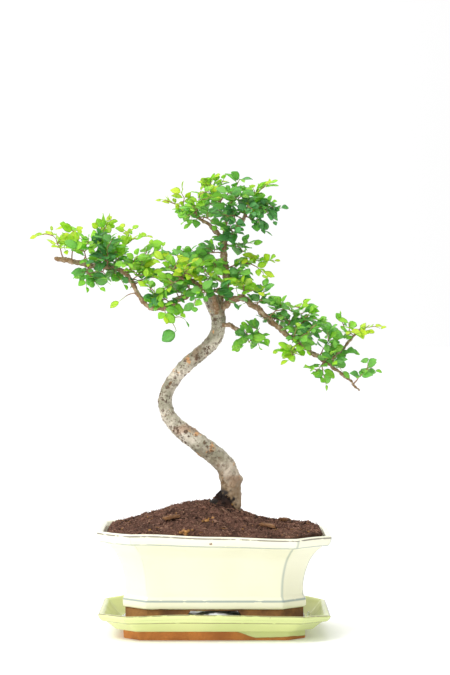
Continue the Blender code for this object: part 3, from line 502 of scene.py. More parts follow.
# ---------------------------------------------------------------- finishes
@dataclass(frozen=True)
class GlazedStoneware:
    """Glossy glaze that thins to dark broken lines on edges and stops above a bare foot."""

    name: str
    body: Colour
    shade: Colour
    # Colour of pooled glaze lines, also used for painted shade lines.
    pool_and_shade: Colour
    line: Colour
    clay: Colour
    dark_clay: Colour
    spot: Colour = (0.20, 0.09, 0.035)
    spots: tuple[tuple[float, float, float, float], ...] = ()
    gaps: float = 0.32
    pool_share: float = 0.5
    nick_share: float = 0.5

    def material(self, effects: SharedEffects) -> bpy.types.Material:
        """Builds the material. It reads the values line, belt, arris and bare at the points."""
        material, hand, shader = new_material(self.name)
        where = hand.place()
        cloud = hand.noise(where, 14.0, 2.0)
        colour = hand.mix(hand.spread(cloud, 0.35, 0.7), self.body, self.shade)
        lines = (
            ("arris", 1.35, 60.0, 0.25, self.pool_share, self.pool_and_shade),
            # belt: pooled glaze; on the pot it also draws a painted shade line under the rim band.
            ("belt", 1.0, 90.0, 0.27, 0.85, self.pool_and_shade),
            ("line", 0.66, 110.0, self.gaps, 0.85, self.line),
        )
        for key, width, scale, gaps, share, dark in lines:
            inputs = {"Vector": where, "Distance": hand.value(key), "Width": width, "Scale": scale}
            mask = hand.use(effects.broken_line, {**inputs, "Gaps": gaps})
            colour = hand.mix(hand.times(mask, share), colour, dark)
        shaken = hand.add("TexNoise", {"Vector": where, "Scale": 600.0, "Detail": 2.0})
        moved = hand.add("VectorMath", {0: shaken.outputs["Color"], 1: (-0.5, -0.5, -0.5)}, operation="ADD")
        moved = hand.add("VectorMath", {0: moved.outputs[0], "Scale": 0.002}, operation="SCALE")
        torn = hand.add("VectorMath", {0: where, 1: moved.outputs[0]}, operation="ADD").outputs[0]
        inputs = {"Vector": torn, "Scale": 42.0, "Size": 0.075, "Kept": self.nick_share}
        nicks = hand.use(effects.speckle, inputs)
        colour = hand.mix(nicks, colour, self.line)
        for x, y, z, radius in self.spots:
            away = hand.add("VectorMath", {0: torn, 1: (x * MM, y * MM, z * MM)}, operation="DISTANCE")
            spot = hand.spread(away.outputs["Value"], 0.6 * radius * MM, radius * MM, 0.9, 0.0)
            colour = hand.mix(spot, colour, self.spot)
        wave = hand.times(hand.minus(hand.noise(where, 70.0), 0.5), 2.0)
        bare = hand.spread(hand.plus(hand.value("bare"), wave), -0.25, 0.25)
        grit = hand.noise(where, 420.0, 6.0, 0.7)
        clay = hand.mix(hand.spread(hand.noise(where, 38.0, 4.0), 0.35, 0.65), self.clay, self.dark_clay)
        clay = hand.mix(hand.spread(grit, 0.3, 0.75, 0.0, 0.5), clay, self.dark_clay)
        hand.link(hand.mix(bare, colour, clay), shader.inputs["Base Color"])
        gloss = hand.spread(hand.noise(where, 60.0), 0.3, 0.7, 0.10, 0.2)
        rough = hand.add("Mix", {0: bare, 2: gloss, 3: 0.85}, data_type="FLOAT").outputs[0]
        hand.link(rough, shader.inputs["Roughness"])
        waves = hand.bump(hand.noise(where, 55.0, 2.0), 0.0012, 0.35)
        step = hand.bump(bare, 0.0004, 1.0, waves)
        grit_height = hand.times(grit, bare)
        hand.link(hand.bump(grit_height, 0.0005, 0.7, step), shader.inputs["Normal"])
        shader.inputs["IOR"].default_value = 1.52
        return material


@dataclass(frozen=True)
class CrumpledPaper:
    """Thin white sheet with soft creases."""

    name: str = "white_liner"
    white: Colour = (0.90, 0.92, 0.93)
    grey: Colour = (0.66, 0.70, 0.74)

    def material(self, effects: SharedEffects) -> bpy.types.Material:
        """Builds the material: grey painted shade in the creases, a fine fibre bump."""
        material, hand, shader = new_material(self.name)
        where = hand.place()
        crease = hand.use(effects.grain, {"Vector": where, "Scale": 70.0, "Warp": 0.8})
        # The grey along the creases is painted shade of the folds, which the bump also draws.
        colour = hand.mix(hand.times(crease, 0.35), self.white, self.grey)
        hand.link(colour, shader.inputs["Base Color"])
        fibre = hand.use(effects.grain, {"Vector": where, "Scale": 900.0, "Warp": 2.0})
        rough = hand.spread(fibre, 0.0, 1.0, 0.5, 0.75)
        hand.link(rough, shader.inputs["Roughness"])
        folds = hand.bump(crease, 0.0012, 0.6)
        hand.link(hand.bump(fibre, 0.0001, 0.4, folds), shader.inputs["Normal"])
        return material


@dataclass(frozen=True)
class ScreenPlastic:
    """Matt black plastic of the drainage screens, dusted with soil."""

    name: str = "black_screen"
    black: Colour = (0.02, 0.02, 0.022)
    dust: Colour = (0.10, 0.07, 0.045)

    def material(self, effects: SharedEffects) -> bpy.types.Material:
        """Builds the material: dust in clouds and a moulded grain."""
        material, hand, shader = new_material(self.name)
        where = hand.place()
        cloud = hand.spread(hand.noise(where, 160.0, 5.0), 0.45, 0.75)
        hand.link(hand.mix(cloud, self.black, self.dust), shader.inputs["Base Color"])
        hand.link(hand.spread(cloud, 0.0, 1.0, 0.42, 0.9), shader.inputs["Roughness"])
        pits = hand.use(effects.speckle, {"Vector": where, "Scale": 900.0, "Size": 0.5, "Kept": 0.6})
        hand.link(hand.bump(pits, 0.0001, 0.5), shader.inputs["Normal"])
        return material


@dataclass(frozen=True)
class Peat:
    """Brown fibrous potting soil. The value tone lightens single crumbs, hue warms them."""

    name: str = "potting_soil"
    dark: Colour = (0.040, 0.018, 0.012)
    brown: Colour = (0.28, 0.14, 0.095)
    light: Colour = (0.50, 0.30, 0.20)
    amber: Colour = (0.60, 0.30, 0.07)
    black: Colour = (0.014, 0.011, 0.010)

    def material(self, effects: SharedEffects) -> bpy.types.Material:
        """Builds the material: three browns by noise, tone and hue, with fibres in the bump."""
        material, hand, shader = new_material(self.name)
        where = hand.place()
        tone = hand.value("tone")
        fine = hand.noise(where, 900.0, 6.0, 0.7)
        broad = hand.noise(where, 60.0, 3.0)
        share = hand.plus(hand.times(tone, 0.75), hand.minus(fine, 0.45))
        share = hand.plus(share, hand.times(hand.minus(broad, 0.5), 0.6))
        colour = hand.mix(hand.spread(share, 0.0, 0.6), self.dark, self.brown)
        colour = hand.mix(hand.spread(share, 0.55, 1.1), colour, self.light)
        # A tone below 0, as on the heap by the trunk's foot, turns the peat near black.
        colour = hand.mix(hand.spread(tone, -0.45, 0.0, 0.8, 0.0), colour, self.black)
        colour = hand.mix(hand.value("hue"), colour, self.amber)
        hand.link(colour, shader.inputs["Base Color"])
        fibre = hand.use(effects.grain, {"Vector": where, "Scale": 700.0, "Warp": 2.5})
        hand.link(hand.spread(fibre, 0.0, 1.0, 0.75, 0.98), shader.inputs["Roughness"])
        hand.link(hand.bump(fibre, 0.0006, 0.9), shader.inputs["Normal"])
        shader.inputs["Specular IOR Level"].default_value = 0.25
        return material


@dataclass(frozen=True)
class SplitWood:
    """Amber wood chips with a fibrous grain along their length."""

    name: str = "wood_chip"
    amber: Colour = (0.42, 0.19, 0.055)
    dark: Colour = (0.10, 0.04, 0.016)

    def material(self, effects: SharedEffects) -> bpy.types.Material:
        """Builds the material: grain from the piece's own UV, which runs along the chip."""
        material, hand, shader = new_material(self.name)
        where = hand.add("UVMap", uv_map="surface").outputs[0]
        fibre = hand.use(effects.grain, {"Vector": where, "Scale": 9.0, "Warp": 0.6})
        cloud = hand.noise(hand.place(), 150.0, 4.0)
        share = hand.plus(hand.times(fibre, 0.6), hand.minus(cloud, 0.45))
        hand.link(hand.mix(hand.spread(share, 0.1, 0.8), self.amber, self.dark), shader.inputs["Base Color"])
        hand.link(hand.spread(cloud, 0.3, 0.7, 0.55, 0.9), shader.inputs["Roughness"])
        hand.link(hand.bump(fibre, 0.0005, 0.8), shader.inputs["Normal"])
        return material


@dataclass(frozen=True)
class ElmBark:
    """Pale smooth bark with dark warts and orange flecks on the trunk, brown on the limbs.

    The value old is 1 on the trunk and 0 on limbs, near_soil is 1 at the soil and fades upwards,
    where the bark is a darker brown, and rough is 1 in the dark fibrous patch at the foot.
    """

    name: str = "elm_bark"
    pale: Colour = (0.68, 0.61, 0.50)
    grey: Colour = (0.27, 0.25, 0.175)
    wart: Colour = (0.10, 0.055, 0.03)
    orange: Colour = (0.66, 0.30, 0.10)
    rust: Colour = (0.30, 0.15, 0.08)
    limb: Colour = (0.25, 0.145, 0.072)
    limb_light: Colour = (0.48, 0.37, 0.25)
    foot_brown: Colour = (0.24, 0.15, 0.07)
    black: Colour = (0.022, 0.016, 0.013)

    def material(self, effects: SharedEffects) -> bpy.types.Material:
        """Builds the material from clouds, specks and fibres, mixed by the values."""
        material, hand, shader = new_material(self.name)
        where = hand.place()
        old = hand.value("old")
        near_soil = hand.value("near_soil")
        rough = hand.value("rough")
        cloud = hand.noise(where, 30.0, 5.0, 0.62)
        trunk = hand.mix(hand.spread(cloud, 0.38, 0.62), self.pale, self.grey)
        rust = hand.spread(hand.noise(where, 42.0, 4.0, 0.6), 0.53, 0.66)
        trunk = hand.mix(hand.times(rust, 0.6), trunk, self.rust)
        flecks = hand.spread(hand.noise(where, 110.0, 3.0, 0.5), 0.61, 0.68)
        trunk = hand.mix(hand.times(flecks, 0.7), trunk, self.orange)
        shaken = hand.add("TexNoise", {"Vector": where, "Scale": 500.0, "Detail": 2.0})
        moved = hand.add("VectorMath", {0: shaken.outputs["Color"], "Scale": 0.0035}, operation="SCALE")
        torn = hand.add("VectorMath", {0: where, 1: moved.outputs[0]}, operation="ADD").outputs[0]
        crowd = hand.spread(hand.noise(where, 65.0, 2.0), 0.38, 0.55, 0.25, 1.0)
        warts = hand.use(effects.speckle, {"Vector": torn, "Scale": 300.0, "Size": 0.70, "Kept": 0.7})
        small = hand.use(effects.speckle, {"Vector": torn, "Scale": 620.0, "Size": 0.75, "Kept": 0.75})
        warts = hand.times(warts, crowd)
        small = hand.times(small, crowd)
        trunk = hand.mix(hand.times(warts, 0.85), trunk, self.wart)
        trunk = hand.mix(hand.times(small, 0.6), trunk, self.wart)
        patches = hand.spread(hand.noise(where, 240.0, 4.0, 0.65), 0.42, 0.68)
        limb = hand.mix(patches, self.limb, self.limb_light)
        colour = hand.mix(old, limb, trunk)
        # Darker brown towards the soil, by height above it.
        low_brown_share = hand.times(near_soil, hand.spread(cloud, 0.2, 0.6, 0.5, 1.0))
        colour = hand.mix(low_brown_share, colour, self.foot_brown)
        colour = hand.mix(rough, colour, self.black)
        hand.link(colour, shader.inputs["Base Color"])
        hand.link(hand.spread(cloud, 0.3, 0.7, 0.55, 0.8), shader.inputs["Roughness"])
        raised = hand.bump(hand.plus(warts, hand.times(small, 0.4)), 0.0006, 0.9)
        crust = hand.use(effects.grain, {"Vector": where, "Scale": 330.0, "Warp": 1.2})
        hand.link(hand.bump(crust, 0.00035, 0.7, raised), shader.inputs["Normal"])
        shader.inputs["Specular IOR Level"].default_value = 0.3
        return material


@dataclass(frozen=True)
class YoungShoot:
    """Thin shoots: brown bark that turns green where the value young nears 1."""

    name: str = "young_shoots"
    brown: Colour = (0.27, 0.13, 0.065)
    light: Colour = (0.44, 0.27, 0.16)
    green: Colour = (0.30, 0.42, 0.07)

    def material(self, effects: SharedEffects) -> bpy.types.Material:
        """Builds the material: two browns by noise, then green towards the tip."""
        material, hand, shader = new_material(self.name)
        where = hand.place()
        cloud = hand.spread(hand.noise(where, 380.0, 4.0), 0.4, 0.7)
        colour = hand.mix(cloud, self.brown, self.light)
        colour = hand.mix(hand.value("young"), colour, self.green)
        hand.link(colour, shader.inputs["Base Color"])
        hand.link(hand.spread(cloud, 0.0, 1.0, 0.5, 0.75), shader.inputs["Roughness"])
        fibre = hand.use(effects.grain, {"Vector": where, "Scale": 800.0, "Warp": 1.0})
        hand.link(hand.bump(fibre, 0.0002, 0.6), shader.inputs["Normal"])
        return material


@dataclass(frozen=True)
class ElmLeaf:
    """Leaf blade from dark green to yellow by the value tone, lit through from behind.

    The value under is 1 on the paler underside.
    """

    name: str = "elm_leaves"
    stops: tuple[tuple[float, Colour], ...] = (
        (0.0, (0.040, 0.190, 0.085)),
        (0.3, (0.135, 0.420, 0.150)),
        (0.55, (0.290, 0.650, 0.130)),
        (0.8, (0.520, 0.870, 0.060)),
        (1.0, (0.820, 0.900, 0.060)),
    )
    through: float = 0.52

    def material(self, effects: SharedEffects) -> bpy.types.Material:
        """Builds the material: a ramp over tone, veins, and a share of light let through."""
        material, hand, shader = new_material(self.name)
        tone = hand.value("tone")
        where = hand.place()
        patch = hand.times(hand.minus(hand.noise(where, 130.0, 3.0), 0.5), 0.28)
        ramp = hand.add("ValToRGB", {0: hand.plus(tone, patch, clamp=True)})
        points = ramp.color_ramp.elements
        points.remove(points[1])
        points[0].position, points[0].color = self.stops[0][0], opaque(self.stops[0][1])
        for position, colour in self.stops[1:]:
            points.new(position).color = opaque(colour)
        across = hand.add("UVMap", uv_map="surface").outputs[0]
        veins = hand.use(effects.veins, {"Vector": across, "Pairs": 8.0})
        pale = hand.mix(0.45, ramp.outputs[0], (0.42, 0.55, 0.30))
        colour = hand.mix(hand.value("under"), ramp.outputs[0], pale)
        colour = hand.mix(hand.times(veins, 0.28), colour, (0.55, 0.68, 0.28))
        hand.link(colour, shader.inputs["Base Color"])
        hand.link(hand.spread(veins, 0.0, 1.0, 0.36, 0.55), shader.inputs["Roughness"])
        normal = hand.bump(veins, 0.0003, 0.7)
        hand.link(normal, shader.inputs["Normal"])
        shader.inputs["Specular IOR Level"].default_value = 0.55
        lit = hand.mix(0.55, ramp.outputs[0], (0.50, 0.95, 0.10))
        glow = hand.add("BsdfTranslucent", {"Color": lit, "Normal": normal})
        both = hand.add("MixShader", {0: self.through, 1: shader.outputs[0], 2: glow.outputs[0]})
        hand.link(both.outputs[0], hand.tree.nodes["Material Output"].inputs["Surface"])
        return material


# ---------------------------------------------------------------- the pot
@dataclass
class GlazedPot:
    """The eight-sided pot: outer foot, belt, flared body, rolled rim and hollow inside."""

    foot_inset: float = 24.5
    foot_height: float = 17.4
    foot_wall: float = 9.0
    belt_height: float = 7.2
    belt_proud: float = 2.0
    rim_cut: float = 30.0
    foot_cut: float = 19.0
    rim_band: float = 10.0
    wall: float = 7.0
    floor: float = 8.0
    recess: float = 19.6
    arch_top: float = 44.0
    arch_base: float = 54.0
    side_arch: float = 0.6
    arch_height: float = 15.9
    lean: float = -0.024
    drain_radius: float = 7.5
    drain_half: float = 38.0

    def __post_init__(self) -> None:
        """Takes the overall size from the CAD node."""
        low, high = box_mm("pot")
        self.base = float(low[2])
        self.height = float(high[2] - low[2])
        shrink = (self.rim_cut - self.foot_cut) / self.foot_inset
        self.outline = CutRectangle(float(high[0]), float(high[1]), self.rim_cut, shrink)

    def flare(self) -> Array:
        """(inset, height) up the body between belt and rim, on a smooth curve."""
        low = self.foot_height + self.belt_height
        rise = self.height - self.rim_band - low
        share = np.array([0.0, 0.3, 0.52, 0.75, 0.91, 1.0])
        inset = self.foot_inset * np.array([1.01, 0.99, 0.905, 0.735, 0.51, 0.33])
        return smoothed(np.column_stack([inset, low + rise * share]), 4)

    def profile(self) -> Array:
        """(inset, height, rounding) from the recess under the floor, round the rim, to the floor."""
        foot, belt = self.foot_inset, self.foot_inset - self.belt_proud
        top, step = self.height, self.foot_height
        inner = foot + self.foot_wall
        rows = [(inner + 30, self.recess, 0), (inner + 1.0, self.recess, 1.0)]
        rows += [(inner, 8, 0.2), (inner, 0.2, 0.8)]
        rows += [(foot + 0.4, 0, 0.8), (foot, 5, 0.2), (foot, step - 0.4, 0.4)]
        crest = step + self.belt_height
        rows += [(belt, step + 0.4, 1.0), (belt - 0.2, 0.5 * (step + crest), 1.0), (belt, crest - 0.2, 0.8)]
        flare = self.flare()
        rows += [(inset, height, 0.6) for inset, height in flare[1:]]
        rows += [(2.6, top - 9.0, 0.9), (0.9, top - 5.5, 1.2), (0.0, top - 1.6, 1.3)]
        rows += [(1.2, top + 0.1, 0.9), (3.2, top, 1.0), (5.2, top - 0.6, 0.9), (6.6, top - 3.4, 1.0)]
        shift = self.wall
        floor = self.recess + self.floor
        rows += [(inset + shift, height, 0.5) for inset, height in flare[::-1] if height > floor + 5]
        rows += [(foot + shift + 0.6, floor + 0.6, 2.0), (foot + shift + 26, floor, 0.5)]
        return np.array(rows, float)

    def arch(self, x: Array, y: Array) -> Array:
        """How high the foot's lower edge is cut away at each place: straight slanting sides."""
        slant = 0.5 * (self.arch_base - self.arch_top)
        front = (0.5 * self.arch_base - np.abs(x)) / slant
        side = (0.5 * self.arch_base * self.side_arch - np.abs(y)) / (slant * self.side_arch)
        half_x, half_y = self.outline.half_x, self.outline.half_y
        facing = np.where(half_y - np.abs(y) < half_x - np.abs(x), front, side)
        return self.arch_height * np.clip(facing, 0, 1)

    def build(self) -> Skin:
        """The closed skin of the pot with the values that its finish reads.

        Each ring is the cut rectangle at one inset and height. The rows of the foot are
        squeezed up into the arches, and the upper rows lean a little to one side.
        """
        control = self.profile()
        rows = filleted(control)
        points, gap = self.outline.rings(rows[:, 0], rows[:, 1])
        height = rows[:, 1]
        lift = self.arch(points[..., 0], points[..., 1])
        on_foot = height[:, None] < self.foot_height - 0.05
        squeezed = lift + points[..., 2] * (1 - lift / self.foot_height)
        points[..., 2] = np.where(on_foot, squeezed, points[..., 2])
        share = np.clip((height[:, None] - 40) / (self.height - 40), 0, 1)
        points[..., 2] += self.lean * points[..., 0] * share
        points[..., 2] += share * (0.35 * ripple(points[..., :2], 90.0, 3))
        points[..., :2] *= 1 + 0.0012 * share[..., None] * ripple(points[..., :2], 70.0, 5)[..., None]
        points[..., 2] += self.base
        travel = along(rows)
        crest = travel[int(np.argmin(np.hypot(rows[:, 0] - 0.1, rows[:, 1] - self.height + 1.9)))]
        hem = travel[int(np.argmin(np.hypot(rows[:, 0] - 2.6, rows[:, 1] - self.height + 9.0)))]
        belt_top = self.foot_height + self.belt_height
        belt = travel[int(np.argmin(np.hypot(rows[:, 0] - 22.5, rows[:, 1] - belt_top)))]
        columns = points.shape[1]
        inside = travel > crest
        # The belt value draws pooled glaze at the belt's top and a painted shade line under the rim band.
        belt_pool_and_rim_shade = np.minimum(np.abs(travel - belt), np.abs(travel - hem) + 0.15)
        on_body = (height > belt_top - 2) & ~inside
        values = {
            "line": np.repeat((travel - crest)[:, None], columns, 1),
            "belt": np.repeat(belt_pool_and_rim_shade[:, None], columns, 1),
            # The arris lines are pooled glaze; making them fainter on the left is painted light of the
            # brightly lit left side.
            "arris": np.where(on_body[:, None], gap + np.where(points[..., 0] < 0, 0.85, 0.1), 9.0),
            "bare": np.repeat((self.foot_height + 0.2 - height)[:, None], columns, 1),
        }
        floor = self.base + self.recess
        return closed_rings(points, np.array([0, 0, floor]), np.array([0, 0, floor + self.floor]), values)

    def drill(self, item: bpy.types.Object) -> None:
        """Cuts the two round drainage holes through the floor."""
        for side in (-1, 1):
            x = side * self.drain_half
            line = np.array([[x, 0, self.base + z, self.drain_radius] for z in (0, 18, 40)])
            cutter = Skin.joined([tube(line, 32)]).put("drill", item.data.materials[0])
            step = item.modifiers.new("drill", "BOOLEAN")
            step.operation = "DIFFERENCE"
            step.solver = "EXACT"
            step.object = cutter
            made = evaluated(item)
            item.modifiers.clear()
            made.name = item.name
            item.data = made
            bpy.data.objects.remove(cutter, do_unlink=True)

    def dress(self, effects: SharedEffects) -> None:
        """Puts the pot into the scene in its cream glaze."""
        finish = GlazedStoneware(
            "cream_glaze",
            body=(0.86, 0.845, 0.665),
            shade=(0.82, 0.805, 0.61),
            pool_and_shade=(0.25, 0.32, 0.31),
            line=(0.10, 0.075, 0.06),
            clay=(0.36, 0.165, 0.05),
            dark_clay=(0.13, 0.055, 0.02),
            spots=(
                (-2.7, -77.0, 85.6, 1.7),
                (-55.7, -77.0, 85.3, 1.3),
                (24.7, -76.5, 82.6, 1.0),
                (70, -70, 58, 0.9),
            ),
            pool_share=0.6,
            nick_share=0.3,
        )
        item = self.build().put("glazed_pot", finish.material(effects))
        self.drill(item)
        settle(item, "pot_glaze", "pot")


# ---------------------------------------------------------------- the drip tray
@dataclass
class DripTray:
    """The shallow tray: bare plinth, sloping underside, upright band and sloping inside."""

    floor: float = 8.0
    plinth_inset: float = 21.8
    plinth_height: float = 7.8
    band: float = 7.6
    rim_cut: float = 24.0
    droop_left: float = -2.2
    droop_right: float = -3.6

    def __post_init__(self) -> None:
        """Takes the overall size from the CAD node."""
        _, high = box_mm("drip_tray")
        self.height = float(high[2])
        self.outline = CutRectangle(float(high[0]), float(high[1]), self.rim_cut, 0.42, 2.2)

    def profile(self) -> Array:
        """(inset, height, rounding) from the middle of the underside, round the rim, to the floor."""
        plinth, shelf, top = self.plinth_inset, self.plinth_height, self.height
        hem = top - self.band
        rows = [(plinth + 34, 0, 0), (plinth + 0.3, 0, 0.7), (plinth, shelf - 0.3, 0.5)]
        rows += [(15.2, shelf + 0.6, 1.2), (11.2, 0.5 * (shelf + hem), 1.5), (6.6, hem - 0.3, 0.7)]
        rows += [(3.2, hem + 0.2, 1.2), (1.2, hem + 3.2, 1.4), (0.0, top - 1.3, 1.0)]
        rows += [(1.3, top + 0.1, 0.9), (3.6, top, 0.9), (5.0, top - 1.6, 0.9)]
        drop = top - self.floor
        rows += [(7.4, self.floor + 0.66 * drop, 1.5), (11.4, self.floor + 0.34 * drop, 2.0)]
        rows += [(15.0, self.floor + 0.09 * drop, 2.0), (19.0, self.floor, 1.5), (60.0, self.floor, 0.5)]
        return np.array(rows, float)

    def glaze_edge(self, x: Array, y: Array) -> Array:
        """Height down to which glaze covers the plinth: bare on the left, dipping on the right."""
        dip = np.clip((x - 14) / 24, 0, 1)
        dip = dip * dip * (3 - 2 * dip)
        wave = 0.5 * np.sin(0.11 * x + 0.4) + 0.3 * np.sin(0.31 * x) + 0.3 * np.sin(0.2 * y)
        return self.plinth_height + 0.2 - (self.plinth_height - 2.2) * dip + wave * dip

    def build(self) -> Skin:
        """The closed skin of the tray with the values that its finish reads.

        Each ring is the cut rectangle at one inset and height. The rim sinks towards both
        ends, by a power of the distance from the middle, and is a little uneven.
        """
        rows = filleted(self.profile())
        points, gap = self.outline.rings(rows[:, 0], rows[:, 1])
        height = rows[:, 1]
        share = np.clip((height[:, None] - 9) / (self.height - 9), 0, 1) ** 1.3
        across = points[..., 0] / self.outline.half_x
        droop = np.where(across < 0, self.droop_left, self.droop_right) * np.abs(across) ** 2.4
        points[..., 2] += share * (droop + 0.4 * ripple(points[..., :2], 80.0, 8))
        travel = along(rows)
        crest = travel[int(np.argmin(np.hypot(rows[:, 0] - 1.0, rows[:, 1] - self.height + 0.3)))]
        hem_row = int(np.argmin(np.hypot(rows[:, 0] - 3.0, rows[:, 1] - self.height + self.band - 0.3)))
        hem = travel[hem_row]
        columns = points.shape[1]
        near = np.where(np.abs(travel - crest) < np.abs(travel - hem), travel - crest, travel - hem)
        bare = self.glaze_edge(points[..., 0], points[..., 1]) - points[..., 2]
        values = {
            "line": np.repeat(near[:, None], columns, 1),
            "belt": np.full(gap.shape, 9.0),
            "arris": np.where((height > 14)[:, None], gap + 0.8, 9.0),
            "bare": np.where(rows[:, :1] < 30, bare, np.where(height[:, None] < 4, 5.0, -5.0)),
        }
        return closed_rings(points, np.zeros(3), np.array([0, 0, self.floor]), values)

    def dress(self, effects: SharedEffects) -> None:
        """Puts the tray into the scene in its pale green glaze."""
        finish = GlazedStoneware(
            "pale_green_glaze",
            body=(0.70, 0.75, 0.33),
            shade=(0.60, 0.67, 0.27),
            pool_and_shade=(0.38, 0.44, 0.27),
            line=(0.11, 0.06, 0.03),
            clay=(0.66, 0.26, 0.06),
            dark_clay=(0.42, 0.15, 0.035),
            spots=((-56.0, -76.5, 24.8, 1.5), (33.0, -77.0, 21.0, 0.9), (48.0, -77.0, 22.5, 1.0)),
            gaps=0.27,
            pool_share=0.3,
            nick_share=0.22,
        )
        item = self.build().put("glazed_tray", finish.material(effects))
        settle(item, "tray_glaze", "drip_tray")


# ---------------------------------------------------------------- the liner
@dataclass
class Liner:
    """A crumpled white sheet under the pot. It lies flat under the foot and stands up elsewhere."""

    thickness: float = 0.3
    margin: float = 5.2
    foot_half_x: float = 78.0
    foot_half_y: float = 53.0
    foot_wall: float = 9.0
    floor: float = 8.3
    corner: float = 21.0
    crumple: float = 1.118
    hump: float = 14.8

    def cut(self) -> tuple[tuple[float, float], float]:
        """The sheet's flat width and length, and its flat area less its corners, in metres.

        Paper keeps its area, so flat it is longer each way than it lies, by the crumple.
        """
        scale = 2 * MM * self.crumple
        width, length = scale * (self.foot_half_x + self.margin), scale * (self.foot_half_y + self.margin)
        return (width, length), width * length - 0.5 * (scale * self.corner) ** 2

    def lift(self, flat: Array, past: Array) -> Array:
        """How far the sheet stands off the floor.

        A hump in the front arch, a crumple in the right moat and ripples elsewhere, each
        times a share that is 0 under the foot, plus fine ridges.
        """
        x, y = flat[..., 0], flat[..., 1]
        hump = self.hump * np.exp(-(((x - 0.5) / 22.5) ** 12) - ((y + self.foot_half_y - 3) / 8.5) ** 2)
        hump = hump * (0.93 + 0.07 * np.cos(math.pi * (x - 2) / 13))
        moat = np.clip((past - 1.2) / (self.margin - 1.2), 0, 1)
        right = np.exp(-(((y + 0.5 * self.foot_half_y) / 17) ** 2)) * (x > self.foot_half_x * 0.6)
        side = np.exp(-(((x - 30) / 16) ** 2)) + np.exp(-(((x + 42) / 14) ** 2))
        waves = 0.5 + 0.5 * np.sin(0.16 * x + 1.3) * np.cos(0.19 * y + 0.4)
        free = moat * (11.0 * right + 2.6 * waves + 1.4 * side)
        inside = np.clip((-past - self.foot_wall - 2.0) / 8.0, 0, 1)
        middle = 4.5 + 3.2 * np.sin(0.13 * x + 0.7) + 2.4 * np.cos(0.21 * y - 0.12 * x)
        middle = inside * np.clip(middle, 0.4, 10)
        loose = np.clip(moat + inside + hump / 6, 0, 1)
        ridges = 0.9 - np.abs(ripple(flat, 9.0, 31)) + 0.5 * (0.8 - np.abs(ripple(flat, 4.0, 32)))
        return np.maximum(hump + free + middle + loose * ridges, 0.0)

    def build(self) -> Skin:
        """The closed skin: an upper and a lower face of the sheet, joined round its edge."""
        outline = CutRectangle(
            self.foot_half_x + self.margin, self.foot_half_y + self.margin, self.corner, 0.42, 3.0
        )
        inset = np.linspace(0, 50, 40)
        flat, _ = outline.rings(inset, np.zeros(len(inset)))
        past = np.repeat((self.margin - inset)[:, None], flat.shape[1], 1)
        edge = 1.6 * ripple(flat[..., :2], 26.0, 33) * np.clip((past - 1.0) / self.margin, 0, 1)
        flat[..., :2] *= 1 - (np.clip(edge, -0.5, 2.5) / self.foot_half_x)[..., None]
        under = flat.copy()
        under[..., 2] = self.floor + self.lift(flat[..., :2], past)
        over = under + np.array([0, 0, self.thickness])
        rings = np.concatenate([over[::-1], under])
        first = rings[0].mean(0)
        last = rings[-1].mean(0)
        return closed_rings(rings, first, last, {})

    def dress(self, effects: SharedEffects) -> None:
        """Puts the sheet into the scene and works out its flat size."""
        item = self.build().put("crumpled_liner", CrumpledPaper().material(effects))
        settle(item, "liner_paper", "liner")
        flat, area = self.cut()


